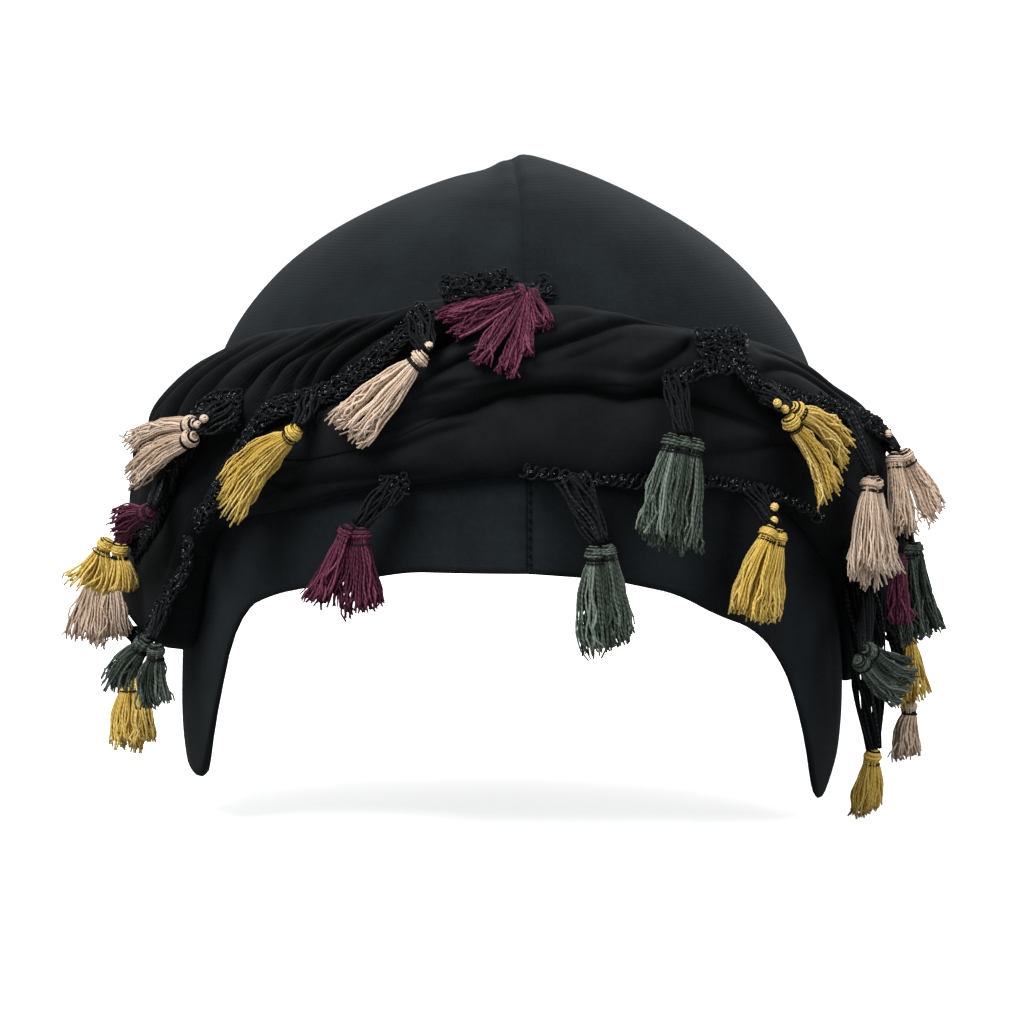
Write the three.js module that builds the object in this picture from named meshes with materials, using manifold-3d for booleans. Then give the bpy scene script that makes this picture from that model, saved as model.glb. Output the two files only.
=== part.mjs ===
// A tassel cap: a black jersey cap with two ear flaps, bound round with a folded scarf.
// The crocheted edge of the scarf carries coloured yarn tassels on black yarn hangers.
// Millimetres, +Z up, the front faces -Y. The origin is the inside top of the crown.
import * as THREE from 'three';
import { mergeVertices } from 'three/addons/utils/BufferGeometryUtils.js';
import Module from 'manifold-3d';

const wasm = await Module();
wasm.setup();

// Driving sizes in millimetres.
const HALF_WIDTH = 83.6;
const FRONT_REACH = 95.5;
const BACK_REACH = 99;
const CROWN_DEPTH = 160;
const CROWN_WALL = 1.5;
const SEAM_GAP = 0.3;
const CLOTH_EDGE = 1.6;
const SEAT = 0.85;
const CLEAR = 0.35;
const SCARF_FALL = 100;
const SCARF_LIFT = 14;
const TASSEL_HEAD = 2.1;
const TASSEL_FLAT = 0.55;
const YARN_THICK = 1.9;
const HANGER_WIDE = 3;

// How far the plan of the head departs from an ellipse, which would be 2.
const PLAN_POWER = 2.15;

// The head under the cap. Fall is a share of the crown depth, side of the half width,
// front and back of their reaches, and lean moves the crown to +X as a share of the half width.
const HEAD_FORM = [
  { fall: 0, side: 0, front: 0, back: 0, lean: 0.031 },
  { fall: 0.00625, side: 0.06, front: 0.147, back: 0.172, lean: 0.03 },
  { fall: 0.01875, side: 0.127, front: 0.262, back: 0.303, lean: 0.028 },
  { fall: 0.0375, side: 0.225, front: 0.398, back: 0.455, lean: 0.024 },
  { fall: 0.075, side: 0.4, front: 0.565, back: 0.626, lean: 0.016 },
  { fall: 0.125, side: 0.57, front: 0.691, back: 0.747, lean: 0.006 },
  { fall: 0.1875, side: 0.714, front: 0.796, back: 0.848, lean: 0 },
  { fall: 0.28125, side: 0.85, front: 0.89, back: 0.934, lean: 0 },
  { fall: 0.40625, side: 0.938, front: 0.963, back: 0.99, lean: 0 },
  { fall: 0.53125, side: 0.978, front: 0.995, back: 1, lean: 0 },
  { fall: 0.65625, side: 0.99, front: 1, back: 0.98, lean: 0 },
  { fall: 0.78125, side: 0.996, front: 0.984, back: 0.929, lean: 0 },
  { fall: 0.90625, side: 0.992, front: 0.942, back: 0.869, lean: 0 },
  { fall: 1.05, side: 0.95, front: 0.88, back: 0.808, lean: 0 },
];

// The hem: the brow arch, the two ear flaps and the scoop at the back of the neck.
// Turn is in degrees from the front towards +X, fall a share of the crown depth.
const HEM = [
  { turn: -180, fall: 0.7 },
  { turn: -140, fall: 0.706 },
  { turn: -122, fall: 0.744 },
  { turn: -110, fall: 0.825 },
  { turn: -100, fall: 0.895 },
  { turn: -89, fall: 0.94 },
  { turn: -79, fall: 0.957 },
  { turn: -70.5, fall: 0.962 },
  { turn: -66, fall: 0.932 },
  { turn: -63.5, fall: 0.856 },
  { turn: -60, fall: 0.762 },
  { turn: -54.5, fall: 0.682 },
  { turn: -46, fall: 0.65 },
  { turn: -34, fall: 0.628 },
  { turn: -18, fall: 0.604 },
  { turn: 0, fall: 0.605 },
  { turn: 12, fall: 0.615 },
  { turn: 24, fall: 0.64 },
  { turn: 32, fall: 0.676 },
  { turn: 41, fall: 0.702 },
  { turn: 48, fall: 0.756 },
  { turn: 52.5, fall: 0.806 },
  { turn: 55, fall: 0.845 },
  { turn: 57.5, fall: 0.91 },
  { turn: 62, fall: 0.962 },
  { turn: 68.5, fall: 1.006 },
  { turn: 72, fall: 0.998 },
  { turn: 76, fall: 0.968 },
  { turn: 85, fall: 0.925 },
  { turn: 96, fall: 0.875 },
  { turn: 108, fall: 0.812 },
  { turn: 122, fall: 0.744 },
  { turn: 140, fall: 0.706 },
  { turn: 180, fall: 0.7 },
];

// The crown has a column at each turn of the hem and at these, and rows at these shares of the
// fall from the top to the hem.
const CROWN_EXTRA_TURNS = [-160, -131, -26, -9, 6, 18, 131, 160];
const CROWN_ROWS = [0.008, 0.035, 0.09, 0.17, 0.28, 0.42, 0.58, 0.74, 0.88, 1];

// The scarf. Top and bottom are shares of the scarf fall, lift a share of the scarf lift.
const WRAP_LOWER = {
  folds: 2,
  foldDepth: 0.9,
  slant: 1 / 120,
  below: [],
  rows: [
    { turn: -180, top: 0.7, bottom: 1.04, lift: 0.6 },
    { turn: -150, top: 0.72, bottom: 1.09, lift: 0.62 },
    { turn: -120, top: 0.78, bottom: 1.17, lift: 0.7 },
    { turn: -98, top: 0.84, bottom: 1.225, lift: 0.78 },
    { turn: -80, top: 0.86, bottom: 1.225, lift: 0.8 },
    { turn: -72, top: 0.83, bottom: 1.205, lift: 0.76 },
    { turn: -68, top: 0.79, bottom: 1.14, lift: 0.7 },
    { turn: -65, top: 0.75, bottom: 1.01, lift: 0.64 },
    { turn: -61, top: 0.7, bottom: 0.915, lift: 0.57 },
    { turn: -54, top: 0.64, bottom: 0.872, lift: 0.52 },
    { turn: -40, top: 0.58, bottom: 0.832, lift: 0.47 },
    { turn: -29, top: 0.54, bottom: 0.79, lift: 0.46 },
    { turn: -17, top: 0.49, bottom: 0.765, lift: 0.46 },
    { turn: 0, top: 0.46, bottom: 0.742, lift: 0.46 },
    { turn: 13, top: 0.46, bottom: 0.763, lift: 0.46 },
    { turn: 26, top: 0.48, bottom: 0.765, lift: 0.46 },
    { turn: 36, top: 0.53, bottom: 0.782, lift: 0.48 },
    { turn: 46, top: 0.59, bottom: 0.83, lift: 0.52 },
    { turn: 57, top: 0.66, bottom: 0.935, lift: 0.6 },
    { turn: 66, top: 0.73, bottom: 1.03, lift: 0.7 },
    { turn: 76, top: 0.8, bottom: 1.14, lift: 0.78 },
    { turn: 90, top: 0.84, bottom: 1.21, lift: 0.8 },
    { turn: 108, top: 0.81, bottom: 1.19, lift: 0.76 },
    { turn: 130, top: 0.76, bottom: 1.13, lift: 0.7 },
    { turn: 155, top: 0.72, bottom: 1.075, lift: 0.63 },
    { turn: 180, top: 0.7, bottom: 1.04, lift: 0.6 },
  ],
};

const WRAP_RIGHT = {
  folds: 3,
  foldDepth: 1.8,
  slant: 1 / 70,
  below: [WRAP_LOWER],
  rows: [
    { turn: -44, top: 0.67, bottom: 0.72, lift: 0.2 },
    { turn: -36, top: 0.62, bottom: 0.725, lift: 0.34 },
    { turn: -27, top: 0.56, bottom: 0.7, lift: 0.5 },
    { turn: -19, top: 0.5, bottom: 0.665, lift: 0.58 },
    { turn: -13, top: 0.455, bottom: 0.62, lift: 0.62 },
    { turn: -7, top: 0.41, bottom: 0.58, lift: 0.64 },
    { turn: 0, top: 0.372, bottom: 0.552, lift: 0.66 },
    { turn: 8, top: 0.366, bottom: 0.55, lift: 0.68 },
    { turn: 14, top: 0.382, bottom: 0.555, lift: 0.7 },
    { turn: 22, top: 0.405, bottom: 0.567, lift: 0.7 },
    { turn: 30, top: 0.425, bottom: 0.6, lift: 0.71 },
    { turn: 38, top: 0.44, bottom: 0.645, lift: 0.73 },
    { turn: 47, top: 0.465, bottom: 0.71, lift: 0.76 },
    { turn: 56, top: 0.505, bottom: 0.785, lift: 0.82 },
    { turn: 65, top: 0.56, bottom: 0.86, lift: 0.9 },
    { turn: 76, top: 0.605, bottom: 0.94, lift: 1.02 },
    { turn: 90, top: 0.635, bottom: 1, lift: 1.08 },
    { turn: 110, top: 0.65, bottom: 1, lift: 1 },
    { turn: 135, top: 0.64, bottom: 0.98, lift: 0.94 },
    { turn: 158, top: 0.61, bottom: 0.95, lift: 0.88 },
    { turn: 179.87, top: 0.6, bottom: 0.94, lift: 0.86 },
  ],
};

const WRAP_LEFT = {
  folds: 4,
  foldDepth: 2,
  slant: 1 / 300,
  below: [WRAP_LOWER, WRAP_RIGHT],
  rows: [
    { turn: -179.87, top: 0.6, bottom: 0.94, lift: 0.86 },
    { turn: -155, top: 0.6, bottom: 0.955, lift: 0.9 },
    { turn: -130, top: 0.6, bottom: 0.985, lift: 0.95 },
    { turn: -108, top: 0.59, bottom: 1.01, lift: 1 },
    { turn: -92, top: 0.57, bottom: 1.005, lift: 1 },
    { turn: -80, top: 0.54, bottom: 0.96, lift: 0.96 },
    { turn: -70, top: 0.5, bottom: 0.88, lift: 0.88 },
    { turn: -62, top: 0.468, bottom: 0.79, lift: 0.8 },
    { turn: -53, top: 0.44, bottom: 0.7, lift: 0.74 },
    { turn: -44, top: 0.425, bottom: 0.635, lift: 0.7 },
    { turn: -35, top: 0.41, bottom: 0.58, lift: 0.7 },
    { turn: -26, top: 0.395, bottom: 0.52, lift: 0.74 },
    { turn: -17, top: 0.372, bottom: 0.46, lift: 0.8 },
    { turn: -9, top: 0.355, bottom: 0.42, lift: 0.78 },
    { turn: -3, top: 0.355, bottom: 0.4, lift: 0.7 },
  ],
};
const WRAPS = [WRAP_LOWER, WRAP_RIGHT, WRAP_LEFT];

// The crocheted edge. Each strip runs through turn in degrees and fall in millimetres.
// Wide is the width of the strip, also in millimetres.
const EDGING = {
  edging_top: { wide: 4.4, path: [[-13.5, 38], [-7, 36], [-1, 34.5], [4.5, 31]] },
  edging_left: {
    wide: 5,
    path: [[-59, 89], [-54, 83], [-50, 75.5], [-47, 68.5], [-44, 63.5], [-38, 60], [-32, 57.5],
      [-26.5, 53.5], [-21.5, 49], [-18, 44.5], [-15.5, 41]],
  },
  edging_side_left: {
    wide: 7,
    path: [[-79, 97], [-71, 86.5], [-65, 77.5], [-60, 70], [-55.5, 64.5], [-49, 63]],
  },
  edging_knot: { wide: 5, path: [[-22, 77.5], [-17.5, 76.5]] },
  edging_front: {
    wide: 4,
    path: [[-1, 73.6], [6, 75.2], [19, 76.6], [26, 76.6], [33, 78], [42, 81], [53, 88]],
  },
  edging_right: {
    wide: 5.5,
    path: [[31, 50], [36, 57], [43, 61], [52, 63.5], [61, 66.5], [70, 70], [78, 74.5], [84, 82], [88, 90]],
  },
  edging_low_left: {
    wide: 5.5,
    path: [[-88, 121.5], [-80, 121.5], [-73, 118], [-67, 110], [-63.5, 101], [-61, 93]],
  },
  edging_low_right: { wide: 5.5, path: [[60, 96], [66, 103.5], [72, 111], [79, 117.5], [90, 121]] },
  edging_back: {
    wide: 5,
    path: [[102, 77], [118, 75], [126, 74], [142, 72.3], [150, 71.5], [166, 70.6], [174, 70.2], [190, 70.2],
      [198, 70.5], [214, 71.5], [222, 72.2], [238, 74], [248, 75.5]],
  },
};

// The tassels. Hang is the turn at which a tassel hangs from its strip of edging.
// Head and tip are each turn in degrees, then fall and stand in millimetres.
// Stand is the distance out from the cap. Wide is the width of one skirt at its end.
// Face is the turn that the flat of the skirts faces, where it isn't that of the head.
const TASSELS = [
  { colour: 'tan', on: 'edging_side_left', hang: -50, head: [-54.5, 67.5, 16], tip: [-68, 74.5, 17],
    wide: 8, skirts: 2, splay: 8 },
  { colour: 'mustard', on: 'edging_left', hang: -35, head: [-36, 66.5, 14], tip: [-47, 86.5, 14],
    wide: 11, skirts: 1, splay: 0 },
  { colour: 'burgundy', on: 'edging_side_left', hang: -70, head: [-73, 88.5, 18], tip: [-78, 92, 21],
    wide: 7, skirts: 1, splay: 0, face: -20 },
  { colour: 'mustard', on: 'edging_side_left', hang: -77, head: [-76, 95.5, 19], tip: [-77, 107, 22],
    wide: 10, skirts: 2, splay: 11, face: -15 },
  { colour: 'tan', on: 'edging_low_left', hang: -86, head: [-86, 104, 19], tip: [-86, 119.5, 22],
    wide: 10, skirts: 2, splay: 7, face: -20 },
  { colour: 'green', on: 'edging_low_left', hang: -67, head: [-66, 117.5, 14], tip: [-69.5, 131.5, 16],
    wide: 9.5, skirts: 2, splay: 12, face: -30 },
  { colour: 'mustard', on: 'edging_low_left', hang: -80, head: [-80, 129, 13], tip: [-79, 145, 13],
    wide: 9, skirts: 2, splay: 5, face: -25 },
  { colour: 'tan', on: 'edging_left', hang: -16.5, head: [-15.8, 50, 14], tip: [-25, 68.5, 13],
    wide: 13, skirts: 1, splay: 0 },
  { colour: 'burgundy', on: 'edging_top', hang: 2.5, head: [-0.5, 36.5, 13], tip: [-5.5, 49, 12.5],
    wide: 8.5, skirts: 3, splay: 21 },
  { colour: 'burgundy', on: 'edging_knot', hang: -19.5, head: [-23.5, 87.5, 9], tip: [-25, 106.5, 9],
    wide: 9.5, skirts: 2, splay: 10 },
  { colour: 'green', on: 'edging_front', hang: 5.5, head: [9, 90, 9], tip: [10.5, 112.5, 9],
    wide: 9, skirts: 2, splay: 6 },
  { colour: 'green', on: 'edging_right', hang: 31.5, head: [21, 67, 13.5], tip: [18, 90, 13],
    wide: 11, skirts: 2, splay: 6 },
  { colour: 'mustard', on: 'edging_front', hang: 37, head: [37, 88, 11], tip: [33, 108, 11],
    wide: 9.5, skirts: 2, splay: 8 },
  { colour: 'mustard', on: 'edging_right', hang: 38, head: [40.5, 64.5, 16], tip: [50, 77.5, 15],
    wide: 8.5, skirts: 2, splay: 12 },
  { colour: 'tan', on: 'edging_right', hang: 58, head: [59, 78, 18], tip: [57, 101, 18],
    wide: 9.5, skirts: 2, splay: 8 },
  { colour: 'tan', on: 'edging_right', hang: 71, head: [72, 75.5, 18], tip: [74, 93, 22],
    wide: 9, skirts: 2, splay: 10, face: 35 },
  { colour: 'green', on: 'edging_right', hang: 87, head: [83, 97, 19], tip: [82, 120, 22],
    wide: 10, skirts: 2, splay: 4, face: 25 },
  { colour: 'burgundy', on: 'edging_right', hang: 82, head: [76, 99, 16], tip: [76, 116, 16],
    wide: 7, skirts: 1, splay: 0, face: 30 },
  { colour: 'green', on: 'edging_low_right', hang: 71, head: [66, 120, 14], tip: [80, 131, 20],
    wide: 9.5, skirts: 2, splay: 5, face: 15 },
  { colour: 'mustard', on: 'edging_low_right', hang: 89, head: [90, 121.5, 18], tip: [90, 136, 20],
    wide: 9, skirts: 1, splay: 0, face: 20 },
  { colour: 'tan', on: 'edging_low_right', hang: 86, head: [91, 138, 15], tip: [91, 151, 17],
    wide: 8, skirts: 1, splay: 0, face: 20 },
  { colour: 'mustard', on: 'edging_low_right', hang: 67, head: [73, 146, 10], tip: [73.5, 162, 8.5],
    wide: 7.5, skirts: 1, splay: 0, face: 10 },
  { colour: 'tan', on: 'edging_back', hang: 110, head: [110, 81, 17], tip: [112, 100, 17],
    wide: 9, skirts: 2, splay: 8 },
  { colour: 'burgundy', on: 'edging_back', hang: 134, head: [134, 79, 17], tip: [135, 99, 17],
    wide: 9, skirts: 2, splay: 8 },
  { colour: 'green', on: 'edging_back', hang: 158, head: [158, 77, 17], tip: [158, 98, 17],
    wide: 9, skirts: 2, splay: 8 },
  { colour: 'mustard', on: 'edging_back', hang: 182, head: [182, 77, 17], tip: [181, 98, 17],
    wide: 9, skirts: 2, splay: 8 },
  { colour: 'tan', on: 'edging_back', hang: 206, head: [206, 78, 17], tip: [206, 99, 17],
    wide: 9, skirts: 2, splay: 8 },
  { colour: 'burgundy', on: 'edging_back', hang: 230, head: [230, 79, 17], tip: [230, 100, 17],
    wide: 9, skirts: 2, splay: 8 },
];

const COLOURS = {
  cap: { color: 0x292e31, roughness: 0.95, metalness: 0 },
  scarf: { color: 0x1a1c1e, roughness: 0.97, metalness: 0 },
  edging: { color: 0x1d1f21, roughness: 0.98, metalness: 0 },
  tan: { color: 0xc1ad98, roughness: 0.9, metalness: 0 },
  mustard: { color: 0xaf9346, roughness: 0.9, metalness: 0 },
  burgundy: { color: 0x4d3038, roughness: 0.9, metalness: 0 },
  green: { color: 0x3d453c, roughness: 0.9, metalness: 0 },
};

// Reads one column of a table at a value of its key, on a smooth curve through the rows.
function read(rows, key, column, value) {
  const last = rows.length - 1;
  const at = Math.min(Math.max(value, rows[0][key]), rows[last][key]);
  let i = 0;
  while (i < last - 1 && rows[i + 1][key] < at) i += 1;
  const slope = (j) => {
    const a = rows[Math.max(j - 1, 0)];
    const b = rows[Math.min(j + 1, last)];
    return (b[column] - a[column]) / (b[key] - a[key]);
  };
  const span = rows[i + 1][key] - rows[i][key];
  const t = (at - rows[i][key]) / span;
  const t2 = t * t;
  const t3 = t2 * t;
  const near = (2 * t3 - 3 * t2 + 1) * rows[i][column] + (t3 - 2 * t2 + t) * span * slope(i);
  const far = (3 * t2 - 2 * t3) * rows[i + 1][column] + (t3 - t2) * span * slope(i + 1);
  return near + far;
}

// Reads a column on straight lines between the rows.
function readStraight(rows, key, column, value) {
  let i = 0;
  while (i < rows.length - 2 && rows[i + 1][key] < value) i += 1;
  const t = (value - rows[i][key]) / (rows[i + 1][key] - rows[i][key]);
  return rows[i][column] + (rows[i + 1][column] - rows[i][column]) * t;
}

// Close to the top the form is round, so its table is read on the root of the fall.
const headRows = HEAD_FORM.map((row) => ({ ...row, root: Math.sqrt(row.fall) }));

function onHead(turn, fall) {
  const angle = THREE.MathUtils.degToRad(turn);
  const root = Math.sqrt(Math.max(fall, 0) / CROWN_DEPTH);
  const side = HALF_WIDTH * read(headRows, 'root', 'side', root);
  const lean = HALF_WIDTH * read(headRows, 'root', 'lean', root);
  const front = FRONT_REACH * read(headRows, 'root', 'front', root);
  const back = BACK_REACH * read(headRows, 'root', 'back', root);
  const across = Math.sin(angle);
  const ahead = Math.cos(angle);
  const power = 2 / PLAN_POWER;
  const x = side * Math.sign(across) * Math.abs(across) ** power;
  const y = -(ahead > 0 ? front : back) * Math.sign(ahead) * Math.abs(ahead) ** power;
  return new THREE.Vector3(x + lean, y, CROWN_WALL - fall);
}

const TURN_STEP = 0.5;
const FALL_STEP = 0.5;

// The direction straight out of the head at a place on it.
function outward(turn, fall) {
  const along = onHead(turn + TURN_STEP, fall).sub(onHead(turn - TURN_STEP, fall));
  const down = onHead(turn, fall + FALL_STEP).sub(onHead(turn, Math.max(fall - FALL_STEP, 0)));
  const normal = new THREE.Vector3().crossVectors(along, down);
  if (normal.length() < 1e-6) return new THREE.Vector3(0, 0, 1);
  return normal.normalize().multiplyScalar(-1);
}

function place(turn, fall, stand) {
  return onHead(turn, fall).addScaledVector(outward(turn, fall), stand);
}

// A closed geometry from points and triangles, turned so that its faces point out.
function closedGeometry(points, faces) {
  let volume = 0;
  for (const [a, b, c] of faces) {
    volume += points[a].dot(new THREE.Vector3().crossVectors(points[b], points[c]));
  }
  const index = faces.flatMap(([a, b, c]) => (volume > 0 ? [a, b, c] : [a, c, b]));
  const geometry = new THREE.BufferGeometry();
  const position = new Float32Array(points.flatMap((p) => [p.x, p.y, p.z]));
  geometry.setAttribute('position', new THREE.BufferAttribute(position, 3));
  geometry.setIndex(index);
  return geometry;
}

// Joins a row of closed sections into a skin, either into a ring or with closed ends.
function loft(sections, ring) {
  const count = sections[0].length;
  const points = sections.flat();
  const faces = [];
  const spans = ring ? sections.length : sections.length - 1;
  for (let i = 0; i < spans; i += 1) {
    const here = i * count;
    const next = ((i + 1) % sections.length) * count;
    for (let j = 0; j < count; j += 1) {
      const k = (j + 1) % count;
      faces.push([here + j, here + k, next + k], [here + j, next + k, next + j]);
    }
  }
  if (!ring) {
    const end = points.length - count;
    for (let j = 1; j < count - 1; j += 1) {
      faces.push([0, j + 1, j], [end, end + j, end + j + 1]);
    }
  }
  return closedGeometry(points, faces);
}

function toSolid(geometry) {
  const bare = geometry.clone();
  bare.deleteAttribute('normal');
  bare.deleteAttribute('uv');
  const merged = mergeVertices(bare, 1e-4);
  const vertProperties = new Float32Array(merged.attributes.position.array);
  const triVerts = new Uint32Array(merged.index.array);
  return new wasm.Manifold(new wasm.Mesh({ numProp: 3, vertProperties, triVerts }));
}

function toGeometry(solid) {
  const mesh = solid.getMesh();
  const geometry = new THREE.BufferGeometry();
  geometry.setAttribute('position', new THREE.BufferAttribute(new Float32Array(mesh.vertProperties), 3));
  geometry.setIndex(Array.from(mesh.triVerts));
  geometry.computeVertexNormals();
  return geometry;
}

// The largest single body of a solid, so that no crumb is left by a cut.
function largest(solid) {
  const bodies = solid.decompose();
  bodies.sort((a, b) => b.volume() - a.volume());
  return bodies[0];
}

const group = new THREE.Group();

function addMesh(name, solid, colour) {
  const mesh = new THREE.Mesh(toGeometry(solid), new THREE.MeshStandardMaterial(COLOURS[colour]));
  mesh.name = name;
  group.add(mesh);
}

// The crown as one shell: an outer skin, an inner skin and the hem that joins them.
function crownShell(outer, inner) {
  const turns = HEM.slice(0, -1).map((row) => row.turn).concat(CROWN_EXTRA_TURNS);
  turns.sort((a, b) => a - b);
  const points = [];
  const faces = [];
  const skin = (stand, flip) => {
    const top = points.push(onHead(0, 0).add(new THREE.Vector3(0, 0, stand))) - 1;
    const start = points.length;
    for (const share of CROWN_ROWS) {
      for (const turn of turns) {
        const hem = readStraight(HEM, 'turn', 'fall', turn) * CROWN_DEPTH + outer;
        points.push(place(turn, hem * share, stand));
      }
    }
    const count = turns.length;
    for (let j = 0; j < count; j += 1) {
      const k = (j + 1) % count;
      faces.push(flip ? [top, start + k, start + j] : [top, start + j, start + k]);
      for (let i = 0; i < CROWN_ROWS.length - 1; i += 1) {
        const a = start + i * count + j;
        const b = start + i * count + k;
        const c = a + count;
        const d = b + count;
        faces.push(flip ? [a, b, d] : [a, d, b], flip ? [a, d, c] : [a, c, d]);
      }
    }
    return points.length - count;
  };
  const outerHem = skin(outer, false);
  const innerHem = skin(inner, true);
  for (let j = 0; j < turns.length; j += 1) {
    const k = (j + 1) % turns.length;
    faces.push([outerHem + j, innerHem + j, innerHem + k], [outerHem + j, innerHem + k, outerHem + k]);
  }
  return toSolid(closedGeometry(points, faces));
}

const SLAB_REACH = 4 * CROWN_DEPTH;

// A block between two planes across the head, to cut the crown at its centre seam.
function slab(fromX, toX) {
  const box = new THREE.BoxGeometry(toX - fromX, SLAB_REACH, SLAB_REACH);
  box.translate((fromX + toX) / 2, 0, 0);
  return toSolid(box);
}

const shell = crownShell(0, -CROWN_WALL);
const halfSeam = SEAM_GAP / 2;
addMesh('crown_left', largest(shell.subtract(slab(-halfSeam, HALF_WIDTH * 2))), 'cap');
addMesh('crown_right', largest(shell.subtract(slab(-HALF_WIDTH * 2, halfSeam))), 'cap');

// Degrees by which a wrap still covers past its ends, and by which its cutter is longer.
const END_TURN = 0.5;
const END_GROW = 0.3;

// The edges of a wound cloth are rounded: a lower power makes them blunter.
const EDGE_ROUND = 0.5;

// The height of one wrap out from the cap, at a share of its width from its top edge.
function wrapStand(wrap, turn, share) {
  const top = read(wrap.rows, 'turn', 'top', turn) * SCARF_FALL;
  const bottom = read(wrap.rows, 'turn', 'bottom', turn) * SCARF_FALL;
  const lift = read(wrap.rows, 'turn', 'lift', turn) * SCARF_LIFT;
  const round = Math.sin(Math.PI * Math.min(Math.max(share, 0), 1)) ** EDGE_ROUND;
  const wave = 0.5 - 0.5 * Math.cos(2 * Math.PI * (wrap.folds * share + wrap.slant * turn));
  let stand = SEAT + CLOTH_EDGE + (lift - CLOTH_EDGE) * round - wrap.foldDepth * wave * round;
  const fall = top + (bottom - top) * share;
  for (const under of wrap.below) {
    stand = Math.max(stand, coverBy(under, turn, fall) + CLOTH_EDGE);
  }
  return stand;
}

// How far a wrap covers the cap at a place: nothing outside its edges.
function coverBy(wrap, turn, fall) {
  const first = wrap.rows[0].turn;
  const last = wrap.rows[wrap.rows.length - 1].turn;
  if (turn < first - END_TURN || turn > last + END_TURN) return 0;
  const top = read(wrap.rows, 'turn', 'top', turn) * SCARF_FALL;
  const bottom = read(wrap.rows, 'turn', 'bottom', turn) * SCARF_FALL;
  const share = (fall - top) / (bottom - top);
  if (share < 0 || share > 1) return 0;
  return wrapStand(wrap, turn, share);
}

// How far round a place the cover is looked at, in degrees and millimetres.
const NEAR_TURN = 2;
const NEAR_FALL = 2.5;

// The highest cover close to a place, so that yarn passes over the edges of the cloth.
function cover(turn, fall) {
  let highest = 0;
  for (const wrap of WRAPS) {
    for (const dt of [-NEAR_TURN, 0, NEAR_TURN]) {
      for (const df of [-NEAR_FALL, 0, NEAR_FALL]) {
        const wound = turn + dt > 180 ? turn + dt - 360 : turn + dt;
        highest = Math.max(highest, coverBy(wrap, wound, fall + df));
      }
    }
  }
  return highest;
}

const INNER_COUNT = 3;

// The turns at which a wrap has its sections, closer together where it changes faster.
function wrapTurns(wrap, step) {
  const turns = [];
  for (let i = 0; i < wrap.rows.length - 1; i += 1) {
    const from = wrap.rows[i].turn;
    const span = wrap.rows[i + 1].turn - from;
    const parts = Math.max(1, Math.round(span / step));
    for (let k = 0; k < parts; k += 1) turns.push(from + (span * k) / parts);
  }
  return turns;
}

function wrapSolid(wrap, outerCount, ring, step, grow) {
  const turns = wrapTurns(wrap, step);
  if (!ring) turns.push(wrap.rows[wrap.rows.length - 1].turn);
  const sections = turns.map((turn, index) => {
    const top = read(wrap.rows, 'turn', 'top', turn) * SCARF_FALL - grow;
    const bottom = read(wrap.rows, 'turn', 'bottom', turn) * SCARF_FALL + grow;
    const end = !ring && grow > 0 && (index === 0 || index === turns.length - 1);
    const at = end ? turn + Math.sign(index - 0.5) * END_GROW : turn;
    const section = [];
    for (let i = 0; i <= outerCount; i += 1) {
      const share = i / outerCount;
      section.push(place(at, top + (bottom - top) * share, wrapStand(wrap, turn, share) + grow));
    }
    for (let i = INNER_COUNT; i >= 0; i -= 1) {
      section.push(place(at, top + ((bottom - top) * i) / INNER_COUNT, SEAT - grow));
    }
    return section;
  });
  return toSolid(loft(sections, ring));
}

const WRAP_BUILD = [
  { name: 'wrap_lower', wrap: WRAP_LOWER, outerCount: 8, ring: true, step: 8 },
  { name: 'wrap_right', wrap: WRAP_RIGHT, outerCount: 10, ring: false, step: 8.5 },
  { name: 'wrap_left', wrap: WRAP_LEFT, outerCount: 12, ring: false, step: 8.5 },
];

// Each cutter is a piece made a little larger, which the pieces laid on it are cut by.
const cutters = [crownShell(CLEAR, -CROWN_WALL - CLEAR)];

function touches(a, b) {
  const p = a.boundingBox();
  const q = b.boundingBox();
  return [0, 1, 2].every((i) => p.min[i] < q.max[i] && q.min[i] < p.max[i]);
}

// Cubic millimetres. A cutter stands clear of its piece, so a smaller cut would only leave a sliver.
const LEAST_CUT = 0.3;

function cutClear(solid, list) {
  let result = solid;
  for (const cutter of list) {
    if (touches(result, cutter) && result.intersect(cutter).volume() > LEAST_CUT) {
      result = result.subtract(cutter);
    }
  }
  return largest(result);
}

for (const { name, wrap, outerCount, ring, step } of WRAP_BUILD) {
  const solid = wrapSolid(wrap, outerCount, ring, step, 0);
  addMesh(name, cutClear(solid, cutters.slice(1)), 'scarf');
  cutters.push(wrapSolid(wrap, outerCount, ring, step, CLEAR));
}

// A flat four-sided strip through places in space, lying along the directions given.
function strip(spots, grow) {
  const last = spots.length - 1;
  const sections = spots.map((spot, i) => {
    const ahead = spots[Math.min(i + 1, last)].at.clone().sub(spots[Math.max(i - 1, 0)].at).normalize();
    const side = new THREE.Vector3().crossVectors(ahead, spot.out).normalize();
    const up = new THREE.Vector3().crossVectors(side, ahead).normalize();
    const centre = spot.at.clone();
    if (i === 0) centre.addScaledVector(ahead, -grow);
    if (i === last) centre.addScaledVector(ahead, grow);
    const w = spot.wide / 2 + grow;
    const t = YARN_THICK / 2 + grow;
    const corners = [[-w, -t], [-w * 0.8, t], [w * 0.8, t], [w, -t]];
    return corners.map(([a, b]) => centre.clone().addScaledVector(side, a).addScaledVector(up, b));
  });
  return toSolid(loft(sections, false));
}

// Millimetres by which yarn stands off the cloth, beyond the clearance.
const YARN_SEAT = 0.1;

// A place for yarn: at least as far out as asked, and always over the cloth below it.
function yarnSpot([turn, fall, stand], half) {
  const least = cover(turn, fall) + CLEAR + YARN_SEAT + half;
  return place(turn, fall, Math.max(stand, least));
}

// The fall of a strip of edging at a turn along its path.
function edgingFall(name, turn) {
  const path = EDGING[name].path.map(([t, fall]) => ({ turn: t, fall }));
  return readStraight(path, 'turn', 'fall', turn);
}

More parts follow.
